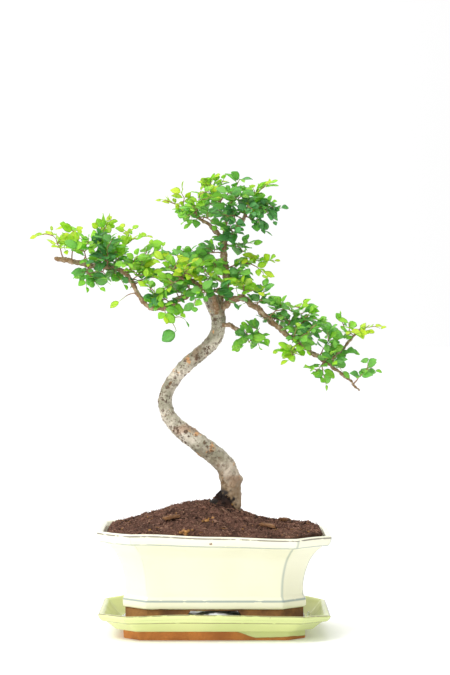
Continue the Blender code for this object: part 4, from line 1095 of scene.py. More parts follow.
# ---------------------------------------------------------------- the soil
@dataclass
class SoilBed:
    """The mound of peat: a fine uneven surface under thousands of crumbs and fibres."""

    pot: GlazedPot
    below_lip: float = 2.0
    crown: float = 4.5
    mound: float = 21.0
    mound_x: float = -6.0
    collar_x: float = 13.0
    collar_sink: float = 3.0
    gap: float = 0.3
    crumbs: int = 7200
    heaped: int = 620
    flakes: tuple[tuple[float, float], ...] = ((-8, -45), (-24, -65), (-27, -66))
    flake_crumbs: int = 12
    heap_height: float = 9.0
    heap_width: float = 5.0
    trunk_reach: float = 8.0
    fibres: int = 1500
    seed: int = 12

    def height(self, x: Array, y: Array) -> Array:
        """Top of the soil: a level edge, a flat crown, and a bell-shaped mound round the trunk."""
        half_x = self.pot.outline.half_x
        half_y = self.pot.outline.half_y
        edge = self.pot.base + self.pot.height - self.below_lip
        bed = 1 - np.clip(np.abs(x) / (half_x - 6), 0, 1) ** 4
        bed = bed * (1 - np.clip(np.abs(y) / (half_y - 6), 0, 1) ** 2.6)
        off = x - self.mound_x
        wide = np.where(off < 0, 0.30, 0.195) * 2 * half_x
        bell = np.exp(-((off / wide) ** 2) - (y / (0.64 * half_y)) ** 2)
        fade = np.clip(4 * bed, 0, 1)
        lumps = 0.9 * np.sin(0.23 * x + 1) * np.sin(0.27 * y + 2) + 0.6 * np.sin(0.41 * x - 0.33 * y)
        return edge + self.crown * bed**0.7 + self.mound * bell * fade**0.6 + lumps * fade

    def heap(self, x: Array, y: Array) -> Array:
        """Extra height of soil against the trunk's left, coloured near black through its tone: a bell of the
        distance.
        """
        away = np.maximum(np.hypot(x - self.collar_x, y) - self.trunk_reach, 0)
        side = np.clip((self.collar_x + 7 - x) / 8, 0, 1)
        return self.heap_height * np.exp(-((away / self.heap_width) ** 2)) * side

    def collar(self) -> Array:
        """Where the trunk meets the soil."""
        level = float(self.height(np.array([self.collar_x]), np.array([0.0]))[0])
        return np.array([self.collar_x, 0.0, level - self.collar_sink])

    def inner_edge(self) -> Array:
        """The ring where the soil meets the pot's wall, as flat points."""
        rows, _ = self.pot.outline.rings(np.array([7.6 + self.gap]), np.zeros(1))
        return rows[0, :, :2]

    def surface(self) -> Skin:
        """The closed soil block.

        The top is rings shrunk from the wall to the trunk, raised by the height formula and
        roughened by ripples of three sizes. The sides follow the pot's wall down to its floor.
        """
        edge = self.inner_edge()
        centre = self.collar()[:2]
        shares = np.linspace(1, 0.02, 90)[:, None, None]
        flat = centre + (edge - centre) * shares
        level = self.height(flat[..., 0], flat[..., 1]) + self.heap(flat[..., 0], flat[..., 1])
        inner = np.clip((1 - shares[..., 0]) * 12, 0, 1)
        rough = 0.55 * ripple(flat, 9.0, 21) + 0.4 * ripple(flat, 4.0, 22) + 0.3 * ripple(flat, 2.0, 23)
        top = np.concatenate([flat, (level + rough * inner)[..., None]], -1)
        rows = self.pot.profile()
        floor = self.pot.recess + self.pot.floor
        wall = rows[int(np.argmax(rows[:, 1])) + 3 : -2, :2]
        wall = wall[(wall[:, 1] > floor + 1) & (wall[:, 1] < self.pot.height - 6)]
        inset = np.append(wall[:, 0], [self.pot.foot_inset + 7.8, self.pot.foot_inset + 12]) + self.gap
        low = np.append(wall[:, 1], [floor + 1.2, floor + self.gap])
        sides, _ = self.pot.outline.rings(inset, low + self.pot.base)
        rings = np.concatenate([top[::-1], sides])
        # The heap by the trunk's foot gets a tone below 0, so it is near black.
        tone = 0.25 - 0.09 * self.heap(rings[..., 0], rings[..., 1])
        first = np.append(centre, top[-1, :, 2].mean())
        last = np.array([0, 0, rings[-1, 0, 2]])
        return closed_rings(rings, first, last, {"tone": tone, "hue": np.zeros_like(tone)})

    def scattered(self, count: int, dice: np.random.Generator, crowd: float = 0.0) -> Array:
        """Random places on the soil's top, as (count, 3).

        Args:
            count: how many.
            dice: the source of chance.
            crowd: share of them drawn to the trunk's foot.

        Returns:
            Points that lie on the surface.
        """
        edge = self.inner_edge()
        near = dice.random(count) < crowd
        share = np.where(near, 0.35 * dice.random(count), np.sqrt(dice.random(count)) * 0.985)
        spot = dice.random(count) * len(edge)
        low = spot.astype(int) % len(edge)
        part = (spot % 1)[:, None]
        rim = edge[low] * (1 - part) + edge[(low + 1) % len(edge)] * part
        flat = self.collar()[:2] + (rim - self.collar()[:2]) * share[:, None]
        return np.column_stack([flat, self.height(flat[:, 0], flat[:, 1])])

    def crumb_skin(self) -> Skin:
        """Crumbs: each the same icosahedron times its own three radii, made uneven and turned.

        The first ones are the amber flakes, and the next are heaped against the trunk's foot.
        """
        dice = np.random.default_rng(self.seed)
        ball, faces = icosahedron()
        count = self.crumbs
        centre = self.scattered(count, dice, 0.12)
        flakes = np.repeat(np.array(self.flakes), self.flake_crumbs, axis=0)
        flakes = flakes + dice.normal(0, 1.9, flakes.shape)
        centre[: len(flakes)] = np.column_stack([flakes, self.height(*flakes.T) + 0.7])
        near = (np.arange(count) >= len(flakes)) & (np.arange(count) < len(flakes) + self.heaped)
        angle = dice.uniform(0, 2 * math.pi, count)
        reach = self.trunk_reach + 13.0 * dice.random(count) ** 1.4
        x = self.collar_x - 2.5 + reach * np.cos(angle)
        y = reach * np.sin(angle)
        pile = self.height(x, y) + self.heap(x, y) * dice.uniform(0.7, 1.12, count)
        centre = np.where(near[:, None], np.column_stack([x, y, pile]), centre)
        size = 0.45 + 0.75 * dice.random(count) ** 2.2
        size = size + 1.0 * (dice.random(count) < 0.05) * dice.random(count)
        size[: len(flakes)] = dice.uniform(0.8, 1.9, len(flakes))
        radii = size[:, None] * dice.uniform(0.55, 1.35, (count, 3))
        shape = ball[None] * radii[:, None] * dice.uniform(0.72, 1.2, (count, len(ball), 1))
        turn = random_turns(count, dice)
        points = np.einsum("nij,nkj->nki", turn, shape)
        centre[:, 2] += size * dice.uniform(-0.2, 0.7, count)
        points = (points + centre[:, None]).reshape(-1, 3)
        tone = np.repeat(np.clip(dice.normal(0.52, 0.30, count), 0, 1.3), len(ball))
        warm = (dice.random(count) < 0.012) * dice.uniform(0.35, 1.0, count)
        warm[: len(flakes)] = dice.uniform(0.25, 0.85, len(flakes))
        # Crumbs on the heap by the trunk's foot get a tone below 0, near black.
        tone = np.where(np.repeat(near, len(ball)), 0.4 * tone - 0.5, tone)
        tris = (faces[None] + (np.arange(count) * len(ball))[:, None, None]).reshape(-1, 3)
        return Skin(points, np.zeros((0, 4), int), tris, {"tone": tone, "hue": np.repeat(warm, len(ball))})

    def fibre_skin(self) -> Skin:
        """Fibres: thin three-sided strands of five rings that curl along the surface."""
        dice = np.random.default_rng(self.seed + 1)
        count = self.fibres
        start = self.scattered(count, dice, 0.3)
        angle = dice.uniform(0, 2 * math.pi, count)
        length = dice.uniform(2.0, 7.5, count)
        curl = dice.normal(0, 0.9, count)
        t = np.linspace(0, 1, 5)[None]
        way = angle[:, None] + curl[:, None] * t
        step = length[:, None] / 4
        x = start[:, :1] + np.cumsum(np.cos(way) * step, 1)
        y = start[:, 1:2] + np.cumsum(np.sin(way) * step, 1)
        half_x, half_y = self.pot.outline.half_x - 10, self.pot.outline.half_y - 10
        x, y = np.clip(x, -half_x, half_x), np.clip(y, -half_y, half_y)
        hover = dice.uniform(0.0, 1.2, (count, 1)) + dice.uniform(-0.3, 1.5, (count, 1)) * np.sin(t * math.pi)
        line = np.stack([x, y, self.height(x, y) + hover], -1)
        ahead = unit(np.gradient(line, axis=1))
        side = unit(np.cross(ahead, np.array([0.0, 0.0, 1.0])))
        other = np.cross(side, ahead)
        radius = (dice.uniform(0.14, 0.30, (count, 1)) * np.array([0.5, 1, 1, 0.9, 0.35]))[..., None, None]
        turn = np.arange(3) * 2 * math.pi / 3
        ring = side[:, :, None] * np.cos(turn)[:, None] + other[:, :, None] * np.sin(turn)[:, None]
        rings = line[:, :, None] + ring * radius
        index = np.arange(count * 15).reshape(count, 5, 3)
        caps = np.concatenate([index[:, 0, ::-1], index[:, -1]])
        tone = np.repeat(np.clip(dice.normal(0.75, 0.35, count), 0, 1.4), 15)
        warm = np.repeat((dice.random(count) < 0.03) * 0.6, 15)
        return Skin(rings.reshape(-1, 3), ring_quads(index), caps, {"tone": tone, "hue": warm})

    def dress(self, effects: SharedEffects) -> None:
        """Puts the soil, its crumbs and its fibres into the scene."""
        peat = Peat().material(effects)
        settle(self.surface().put("soil_mound", peat), "potting_soil", "soil")
        settle(self.crumb_skin().put("soil_crumbs", peat), "potting_soil")
        settle(self.fibre_skin().put("soil_fibres", peat), "potting_soil")


def icosahedron() -> tuple[Array, Array]:
    """The 12 points and 20 triangles of an icosahedron of radius 1."""
    work = bmesh.new()
    bmesh.ops.create_icosphere(work, subdivisions=1, radius=1.0)
    points = np.array([vertex.co[:] for vertex in work.verts])
    faces = np.array([[vertex.index for vertex in face.verts] for face in work.faces])
    work.free()
    return points, faces


def random_turns(count: int, dice: np.random.Generator) -> Array:
    """Random rotation matrices, from unit quaternions."""
    w, x, y, z = unit(dice.normal(size=(count, 4))).T
    rows = [
        [1 - 2 * (y * y + z * z), 2 * (x * y - z * w), 2 * (x * z + y * w)],
        [2 * (x * y + z * w), 1 - 2 * (x * x + z * z), 2 * (y * z - x * w)],
        [2 * (x * z - y * w), 2 * (y * z + x * w), 1 - 2 * (x * x + y * y)],
    ]
    return np.array(rows).transpose(2, 0, 1)


@dataclass
class WoodChips:
    """Flat splinters of amber wood that lie on the soil where the CAD has them."""

    nodes: tuple[str, ...] = ("wood_chip_1", "wood_chip_2", "wood_chip_3")
    turns: tuple[float, ...] = (25.0, -35.0, 70.0)
    half: tuple[float, float, float] = (7.4, 3.8, 1.3)

    def build(self, number: int) -> Skin:
        """One chip: a rounded slab whose outline is torn at both ends, with UV along its grain.

        The slab is a ball whose long and cross directions are raised to a small power, so it
        is nearly a box, then roughened by ripples that are long in the grain's direction.
        """
        low, high = box_mm(self.nodes[number])
        centre = 0.5 * (low + high) + np.array([0, 0, -0.4])
        v = np.linspace(0.04, math.pi - 0.04, 22)[:, None]
        u = np.linspace(0, 2 * math.pi, 40, endpoint=False)[None]
        a, b, c = np.cos(v) + 0 * u, np.sin(v) * np.cos(u), np.sin(v) * np.sin(u)
        power = 0.45
        box = np.stack([np.sign(q) * np.abs(q) ** power for q in (a, b, c)], -1) * np.array(self.half)
        torn = ripple(box[..., 1:] * np.array([1.0, 0.4]), 1.6, 50 + number)
        box[..., 0] *= 1 + 0.07 * torn * np.abs(a) + 0.10 * np.sin(2.1 * box[..., 1] + number)
        grain = box * np.array([0.25, 1.6, 1.6])
        box[..., 2] += 0.22 * ripple(grain, 2.2, 60 + number) + 0.05 * box[..., 0] * np.sin(number)
        box[..., 1] += 0.18 * ripple(grain, 2.6, 70 + number)
        turn = math.radians(self.turns[number])
        slope = (high[2] - low[2] - 2.8) / max(np.hypot(*(high - low)[:2]), 1.0)
        x = box[..., 0] * math.cos(turn) - box[..., 1] * math.sin(turn)
        y = box[..., 0] * math.sin(turn) + box[..., 1] * math.cos(turn)
        z = box[..., 2] - slope * 0.5 * (np.sign(centre[0]) * x + np.sign(centre[1]) * y)
        rings = np.stack([x, y, z], -1) + centre
        skin = closed_rings(rings, rings[0].mean(0), rings[-1].mean(0), {})
        flat = np.stack([box[..., 0] * 0.05, box[..., 1] * 0.6 + box[..., 2]], -1).reshape(-1, 2)
        skin.uv = np.vstack([flat, flat[:1], flat[-1:]])
        return skin

    def dress(self, effects: SharedEffects) -> None:
        """Puts the chips into the scene."""
        wood = SplitWood().material(effects)
        for number, node in enumerate(self.nodes):
            settle(self.build(number).put(f"amber_chip_{number + 1}", wood), "wood_chip", node)


# ---------------------------------------------------------------- tubes
def tube_rings(line: Array, sides: int) -> Array:
    """Rings round a line of (x, y, z, radius), each turned on from the last without twist."""
    ahead = unit(np.gradient(line[:, :3], axis=0))
    side = np.cross(ahead[0], (0.3, 1.0, 0.1))
    turn = np.arange(sides) * 2 * math.pi / sides
    rings = []
    for centre, way in zip(line, ahead):
        side = side - way * side.dot(way)
        side = side / np.linalg.norm(side)
        other = np.cross(way, side)
        ring = np.outer(np.cos(turn), side) + np.outer(np.sin(turn), other)
        rings.append(centre[:3] + ring * centre[3])
    return np.array(rings)


def tube(line: Array, sides: int, values: dict[str, Array] | None = None) -> Skin:
    """A closed round tube along a line of (x, y, z, radius).

    Args:
        line: its centre line and radius.
        sides: points round it.
        values: values at each point of the line, passed to the ring there.

    Returns:
        The skin, with a pole at each end.
    """
    rings = tube_rings(line, sides)
    spread = {key: np.repeat(value[:, None], sides, 1) for key, value in (values or {}).items()}
    return closed_rings(rings, line[0, :3], line[-1, :3], spread)


# ---------------------------------------------------------------- the tree
# Points are (x, y, z, radius), as the tree grows from its collar at (13, 0, 108).
TRUNK_LINE = (
    (13, 0, 108, 9.6),
    (14.5, 0, 118, 8.9),
    (14.5, 0, 128, 8.7),
    (13.5, -1, 138, 8.9),
    (9.5, -2, 148.5, 8.9),
    (1.5, -4, 157, 8.5),
    (-9.5, -5, 165.5, 8.3),
    (-21.5, -4, 174.5, 7.9),
    (-33, -2, 183.5, 7.2),
    (-40.5, 0, 192.5, 6.5),
    (-44, 2, 202.5, 6.1),
    (-43, 4, 211.5, 5.9),
    (-39.5, 5, 220, 5.8),
    (-32.5, 5, 230, 5.9),
    (-23, 4, 240, 6.1),
    (-13, 2, 248, 6.2),
    (-4, 0, 256, 6.3),
    (1.5, -1, 264.5, 6.2),
    (3.5, -2, 274, 6.1),
    (3, -2, 283, 6.7),
    (0, -2, 291, 7.4),
    (-3.5, -2, 297, 6.2),
    (-5.0, -2, 300.5, 3.4),
)
LIMBS = {
    "leader": (
        (1, 1, 288, 3.2), (5, 4, 297, 3.4), (9.5, 5, 308, 3.3), (10.5, 4, 318, 3.1),
        (9, 3, 329, 3.0), (8, 1.5, 340, 2.9), (8.5, 0, 350, 2.6),
    ),
    "bough_left": (
        (-1, -3, 292, 3.0), (-4, -8, 302, 3.0), (-9, -11, 306.5, 2.9), (-16, -14, 304.5, 2.8),
        (-24.5, -17, 301, 2.7), (-33, -19, 294.5, 2.5), (-46, -20, 288, 2.3),
        (-56.5, -19, 290, 2.2),
        (-63.5, -17, 294.5, 2.1), (-67.5, -15, 302, 2.0), (-73, -12, 311.5, 2.1),
        (-79, -9, 319.5, 2.2),
        (-88, -7, 324, 2.3), (-102, -5, 326, 2.4), (-115, -5, 327.5, 2.5), (-130, -6, 331, 2.4),
        (-142, -7, 332.5, 1.8),
    ),
    "bough_front": (
        (1.5, -6, 283, 2.2), (2, -14, 291, 2.2), (-2, -22, 300, 2.0), (-11, -28, 308, 1.8),
        (-24, -34, 314, 1.5), (-37, -38, 318, 1.1),
    ),
    "bough_right": (
        (3, -3, 285, 3.0), (10.5, -6, 292.5, 3.1), (17, -8, 297, 3.0), (24, -9, 297, 2.9),
        (32, -10, 293, 2.8), (42, -11, 284.5, 2.7), (54, -12, 273.5, 2.7), (69, -13, 262, 2.5),
        (85, -15, 250, 2.2), (98, -17, 241.5, 1.9), (109, -19, 233, 1.5), (120, -20, 224, 1.2),
        (128, -21, 216, 0.9),
    ),
    "branch_low": (
        (4, -3, 273, 2.0), (12, -9, 274, 2.0), (20, -13, 270, 1.9), (28, -16, 265, 1.6),
        (34, -18, 260.5, 1.1),
    ),
    "bough_back": (
        (9.5, 5, 308, 2.0), (5, 13, 314, 2.0), (-5, 22, 320, 1.8), (-19, 29, 324.5, 1.5),
        (-35, 34, 327.5, 1.1),
    ),
    "branch_rising": (
        (97, -17, 242, 1.4), (105, -14.5, 245.5, 1.4), (114, -12, 253, 1.3), (121.5, -10, 262, 1.2),
        (129, -8, 270.5, 0.9),
    ),
    "apex_left": (
        (8.5, 0.5, 346, 1.9), (3, -3, 354.5, 1.9), (-5, -7, 362.5, 1.7), (-13, -10, 368, 1.4),
        (-23, -12, 372.5, 1.0),
    ),
    "apex_right": (
        (8.5, 0, 346.5, 2.0), (15.5, -4, 354, 2.0), (23, -7, 362.5, 1.8), (27, -9, 371.5, 1.5),
        (31, -10, 380, 1.1),
    ),
    "apex_back": (
        (8.5, 1, 346.5, 1.9), (10, 8, 356, 1.9), (9, 13, 367, 1.7), (5, 16, 379, 1.4),
        (2, 17, 392, 1.0),
    ),
}
# Surface roots, as offsets (x, y, z, radius) from the collar.
ROOTS = (
    ((-2, -2, 4, 4.2), (-11, -6, 8, 3.6), (-18, -9, 6, 3.1), (-25, -12, -4, 2.6), (-33, -16, -19, 1.9)),
    ((3, 0, -4, 4.6), (17, -5, -11, 3.8), (30, -10, -21, 3.0), (42, -15, -33, 2.0)),
    ((0, 3, -6, 4.6), (-8, 16, -16, 3.6), (-16, 27, -29, 2.6), (-22, 34, -43, 1.8)),
    ((0, -3, -8, 4.6), (7, -15, -18, 3.6), (13, -27, -31, 2.6), (16, -34, -45, 1.8)),
    ((3, 3, -8, 4.4), (17, 12, -17, 3.4), (30, 22, -30, 2.5), (38, 29, -44, 1.7)),
    ((-3, 1, -8, 4.4), (-19, 5, -17, 3.4), (-37, 9, -30, 2.5), (-50, 13, -45, 1.7)),
)
# Knobs on the trunk: (x, y, z, radius, height), where a twig was cut or the bark swells.
KNOBS = (
    (24, -3, 137, 3.8, 3.8),
    (22, -5, 112, 4.5, 2.2),
    (-14, -8, 247, 2.6, 1.1),
    (-19, -8, 241, 2.2, 1.0),
    (-27, -8, 230, 2.0, 0.9),
    (9, -8, 248, 2.6, 1.1),
    (-49, -4, 203, 2.2, 0.8),
    (-12, -13, 158, 2.6, 0.9),
    (-28, -11, 176, 2.4, 0.9),
    (3, -12, 150, 2.8, 1.0),
    (-8, -8, 290, 3.6, 1.5),
    (-4, -9, 298, 2.8, 1.2),
    (8, -8, 268, 2.2, 0.8),
)


class Age(Enum):
    """How old the leaves of a spray are, as their place between dark green and yellow."""

    YELLOW = 0.93
    YOUNG = 0.76
    FRESH = 0.58
    GROWN = 0.40
    DARK = 0.24


class Cloud(Enum):
    """The separate clouds of foliage, each named by the limbs that carry it."""

    LEFT = ("bough_left",)
    CENTRE = ("bough_front", "bough_back", "leader")
    RIGHT = ("bough_right", "branch_rising", "branch_low")
    APEX = ("apex_left", "apex_right", "apex_back")


# Sprays: (limb, tips of its shoots, age). The first shoot starts on the limb, the others on it.
SPRAYS = (
    ("bough_left", ((-144, -14, 356), (-133, -4, 351)), Age.YELLOW),
    ("bough_left", ((-121, 8, 356), (-113, 20, 346)), Age.YOUNG),
    ("bough_left", ((-110, -24, 349), (-124, -26, 340)), Age.FRESH),
    ("bough_left", ((-102, 6, 362), (-94, -6, 366)), Age.YOUNG),
    ("bough_left", ((-94, -28, 343), (-104, -30, 330)), Age.DARK),
    ("bough_left", ((-113, -18, 308), (-101, -26, 307)), Age.GROWN),
    ("bough_left", ((-99, 14, 313), (-118, 14, 316)), Age.GROWN),
    ("bough_left", ((-86, 22, 340), (-96, 32, 334)), Age.GROWN),
    ("bough_left", ((-74, 2, 359), (-62, -10, 352)), Age.YOUNG),
    ("bough_left", ((-67, -34, 334), (-78, -36, 326)), Age.FRESH),
    ("bough_left", ((-56, 14, 334), (-66, 24, 324)), Age.GROWN),
    ("bough_left", ((-46, -12, 342), (-56, 0, 345)), Age.FRESH),
    ("bough_left", ((-52, -44, 304), (-60, -36, 315)), Age.FRESH),
    ("bough_left", ((-42, -48, 291), (-30, -42, 284)), Age.FRESH),
    ("bough_left", ((-33, -26, 268), (-26, -30, 279)), Age.GROWN),
    ("bough_left", ((-83, -22, 295),), Age.YELLOW),
    ("bough_left", ((-92, -14, 354), (-84, -22, 348)), Age.FRESH),
    ("bough_left", ((-100, -12, 340), (-92, -20, 334)), Age.DARK),
    ("bough_left", ((-90, 2, 316), (-80, -10, 310)), Age.GROWN),
    ("bough_left", ((-62, -26, 322), (-52, -32, 318)), Age.YOUNG),
    ("bough_left", ((-40, -30, 312), (-28, -38, 300)), Age.GROWN),
    ("bough_left", ((-24, -36, 322), (-14, -30, 326)), Age.FRESH),
    ("bough_left", ((-52, 0, 318), (-44, 10, 312)), Age.DARK),
    ("bough_left", ((-34, 2, 322), (-22, -6, 332)), Age.GROWN),
    ("bough_left", ((-44, -36, 300), (-54, -40, 294)), Age.DARK),
    ("bough_front", ((-26, -50, 322), (-14, -48, 312)), Age.YELLOW),
    ("bough_front", ((-46, -34, 328), (-32, -24, 331)), Age.YOUNG),
    ("bough_front", ((4, -38, 302), (16, -34, 293)), Age.DARK),
    ("bough_front", ((-38, -46, 308), (-48, -42, 300)), Age.FRESH),
    ("bough_front", ((-8, -46, 300), (-18, -48, 290)), Age.GROWN),
    ("bough_front", ((-2, -40, 316), (10, -36, 312)), Age.FRESH),
    ("bough_back", ((-30, 20, 341), (-48, 32, 338)), Age.GROWN),
    ("bough_back", ((-6, 38, 330), (8, 36, 320)), Age.GROWN),
    ("bough_back", ((-40, 18, 316), (-30, 26, 306)), Age.DARK),
    ("bough_back", ((-14, 12, 336), (-4, 20, 342)), Age.GROWN),
    ("leader", ((-14, 2, 334), (-10, 12, 343)), Age.GROWN),
    ("leader", ((53, -2, 331), (44, -12, 318)), Age.YOUNG),
    ("leader", ((26, -14, 320), (32, -8, 310)), Age.GROWN),
    ("leader", ((28, 10, 314), (20, 16, 302)), Age.GROWN),
    ("leader", ((-6, -14, 328), (-2, -20, 320)), Age.FRESH),
    ("leader", ((25, -2, 344), (30, 6, 336)), Age.GROWN),
    ("bough_right", ((26, -28, 309), (38, -26, 303)), Age.YOUNG),
    ("bough_right", ((60, -24, 293), (72, -20, 286)), Age.GROWN),
    ("bough_right", ((78, -6, 291), (88, 4, 288)), Age.FRESH),
    ("bough_right", ((86, -34, 272), (74, -36, 262)), Age.GROWN),
    ("bough_right", ((96, 4, 276), (106, 14, 266)), Age.GROWN),
    ("bough_right", ((66, -26, 244), (56, -22, 252)), Age.YOUNG),
    ("bough_right", ((88, -34, 231), (98, -28, 222)), Age.FRESH),
    ("bough_right", ((137, -24, 236), (128, -30, 229)), Age.GROWN),
    ("bough_right", ((44, -24, 300), (52, -14, 294)), Age.GROWN),
    ("bough_right", ((70, -32, 262), (80, -36, 252)), Age.FRESH),
    ("bough_right", ((102, -26, 262), (110, -16, 254)), Age.GROWN),
    ("bough_right", ((58, -2, 282), (66, 8, 274)), Age.DARK),
    ("bough_right", ((104, -34, 242), (112, -30, 234)), Age.GROWN),
    ("bough_right", ((76, 4, 270), (86, 12, 258)), Age.DARK),
    ("bough_right", ((112, -6, 248), (100, 2, 242)), Age.GROWN),
    ("bough_right", ((84, -20, 284), (92, -26, 278)), Age.GROWN),
    ("branch_rising", ((134, -10, 272), (118, -22, 268)), Age.YELLOW),
    ("branch_rising", ((116, -4, 268), (108, -14, 260)), Age.FRESH),
    ("branch_low", ((44, -22, 263), (40, -12, 254)), Age.GROWN),
    ("branch_low", ((30, -28, 258), (20, -24, 252)), Age.FRESH),
    ("apex_left", ((-39, -14, 382), (-29, -18, 393)), Age.YELLOW),
    ("apex_left", ((-16, -34, 377), (-26, -30, 366)), Age.FRESH),
    ("apex_left", ((-6, -22, 368), (4, -26, 358)), Age.GROWN),
    ("apex_back", ((12, -12, 380), (20, -20, 386)), Age.GROWN),
    ("apex_right", ((16, -18, 354), (8, -22, 346)), Age.DARK),
    ("apex_left", ((-12, -20, 392), (0, -26, 386)), Age.YOUNG),
    ("apex_left", ((-30, -2, 376), (-20, 6, 368)), Age.GROWN),
    ("apex_right", ((44, -12, 396), (34, -22, 394)), Age.YOUNG),
    ("apex_right", ((58, -10, 376), (52, -20, 366)), Age.DARK),
    ("apex_right", ((30, -36, 376), (40, -30, 362)), Age.DARK),
    ("apex_right", ((14, -30, 392), (24, -34, 386)), Age.GROWN),
    ("apex_right", ((46, 4, 384), (40, 12, 374)), Age.GROWN),
    ("apex_right", ((10, -30, 368), (20, -36, 360)), Age.DARK),
    ("apex_right", ((36, -10, 366), (44, -6, 358)), Age.DARK),
    ("apex_back", ((-8, 10, 399), (8, 2, 403)), Age.YOUNG),
    ("apex_back", ((22, 6, 397), (30, 0, 392)), Age.GROWN),
    ("apex_back", ((-6, 20, 386), (-14, 26, 376)), Age.GROWN),
)


# Sprays that are bare but for a leaf or two at their ends, by their first tip.
LONE_TIPS = ((-33, -26, 268), (-83, -22, 295))


@dataclass
class Wood:
    """Roots, trunk and limbs, fused into one skin."""

    soil: SoilBed
    voxel: float = 0.66
    trunk_sides: int = 40
    limb_sides: int = 18

    def lines(self) -> dict[str, Array]:
        """Every limb as a smooth line of (x, y, z, radius) in its place, the trunk first."""
        start = np.array(TRUNK_LINE[0][:3], float)
        move = np.append(self.soil.collar() - start, 0.0)
        lines = {"trunk": smoothed(np.array(TRUNK_LINE, float) + move, 5)}
        for name, line in LIMBS.items():
            lines[name] = smoothed(np.array(line, float) + move, 4)
        return lines

    def plug(self, lines: dict[str, Array]) -> Array:
        """The trunk's line with its buried foot below the collar."""
        foot = self.soil.collar()
        below = [(0, -46, 3.0), (0, -38, 8.3), (0, -26, 12.6), (0, -14, 14.1), (0, -6, 11.8)]
        rows = [(foot[0] + x, 0.0, foot[2] + z, radius) for x, z, radius in below]
        return np.vstack([smoothed(np.array(rows), 3), lines["trunk"][1:]])

    def roots(self) -> list[Array]:
        """The roots as lines of (x, y, z, radius)."""
        move = np.append(self.soil.collar(), 0.0)
        return [smoothed(np.array(root, float) + move, 4) for root in ROOTS]

    def knotted(self, line: Array, number: int) -> Array:
        """A limb with swellings: its radius times one plus uneven ripples along it."""
        travel = along(line[:, :3])[:, None]
        line = line.copy()
        line[:, 3] *= 1 + 0.11 * ripple(travel, 9.0, 80 + number) + 0.05 * ripple(travel, 4.0, 90 + number)
        sway = np.column_stack([ripple(travel, 16.0, 100 + 3 * number + k) for k in range(3)])
        ends = np.clip(travel / 10, 0, 1) * np.clip((travel[-1] - travel) / 8, 0, 1)
        line[:, :3] += 0.55 * sway * ends
        return line

    def fused(self, lines: dict[str, Array]) -> bpy.types.Mesh:
        """All tubes as one skin, by a fine voxel remesh and a little smoothing."""
        pieces = [tube(self.plug(lines), self.trunk_sides)]
        pieces += [tube(root, self.limb_sides) for root in self.roots()]
        limbs = [name for name in lines if name != "trunk"]
        pieces += [tube(self.knotted(lines[name], k), self.limb_sides) for k, name in enumerate(limbs)]
        item = Skin.joined(pieces).put("wood_rough", bpy.data.materials.new("wood_rough"))
        fuse = item.modifiers.new("fuse", "REMESH")
        fuse.mode = "VOXEL"
        fuse.voxel_size = self.voxel * MM
        soften = item.modifiers.new("soften", "SMOOTH")
        soften.factor = 0.5
        soften.iterations = 3
        mesh = evaluated(item)
        bpy.data.objects.remove(item, do_unlink=True)
        return mesh

    def build(self, lines: dict[str, Array]) -> bpy.types.Mesh:
        """The wood with bark relief and the values that its finish reads.

        A point moves along its normal by ripples scaled to the limb's girth, and by a bell
        for each knob. How old the bark is comes from the nearest centre line.
        """
        mesh = self.fused(lines)
        count = len(mesh.vertices)
        flat = np.empty(count * 3, np.float32)
        mesh.vertices.foreach_get("co", flat)
        points = flat.reshape(-1, 3).astype(float) / MM
        mesh.vertices.foreach_get("normal", flat)
        normal = flat.reshape(-1, 3).astype(float)
        bones = [(self.plug(lines), 1.0)] + [(root, 0.8) for root in self.roots()]
        bones += [(lines[name], 0.0) for name in lines if name != "trunk"]
        centres = np.vstack([line[:, :4] for line, _ in bones])
        ages = np.concatenate([np.full(len(line), age) for line, age in bones])
        nearest = np.empty(count, int)
        for start in range(0, count, 8000):
            gap = np.linalg.norm(points[start : start + 8000, None] - centres[None, :, :3], axis=2)
            nearest[start : start + 8000] = (gap - centres[None, :, 3]).argmin(1)
        girth = centres[nearest, 3]
        old = ages[nearest]
        relief = 0.030 * girth * ripple(points, 11.0, 41) + 0.16 * ripple(points, 3.6, 42)
        relief += 0.09 * ripple(points, 1.9, 43)
        foot = self.soil.collar()
        move = foot - np.array(TRUNK_LINE[0][:3], float)
        for x, y, z, radius, height in KNOBS:
            away = np.linalg.norm(points - (np.array([x, y, z]) + move), axis=1)
            relief += height * np.exp(-((away / radius) ** 2))
        above = points[:, 2] - foot[2]
        base = np.clip(1 - above / 20, 0, 1)
        relief += base * 0.5 * ripple(points * np.array([1, 1, 0.3]), 5.0, 44)
        points += normal * relief[:, None]
        side = (foot[0] + 5.0 - points[:, 0]) / 6 + (19 - above) / 14 + 0.45 * ripple(points, 5.0, 45)
        rough = np.clip(side - 0.6, 0, 1) * np.clip((24 - above) / 6, 0, 1) * (old > 0.5)
        # 1 up to about 15 mm above the soil, falling to 0 at about 53 mm.
        near_soil = np.clip(1.3 - (above - 4) / 38, 0, 1)
        mesh.vertices.foreach_set("co", (points * MM).astype(np.float32).ravel())
        mesh.polygons.foreach_set("use_smooth", np.ones(len(mesh.polygons), bool))
        store(mesh, {"old": old, "near_soil": near_soil, "rough": rough})
        mesh.update()
        mesh.name = "elm_wood"
        return mesh

    def dress(self, effects: SharedEffects, lines: dict[str, Array]) -> None:
        """Puts the wood into the scene in its bark."""
        item = put_mesh(self.build(lines), ElmBark().material(effects))
        settle(item, "bark_and_leaves", "bonsai_tree")


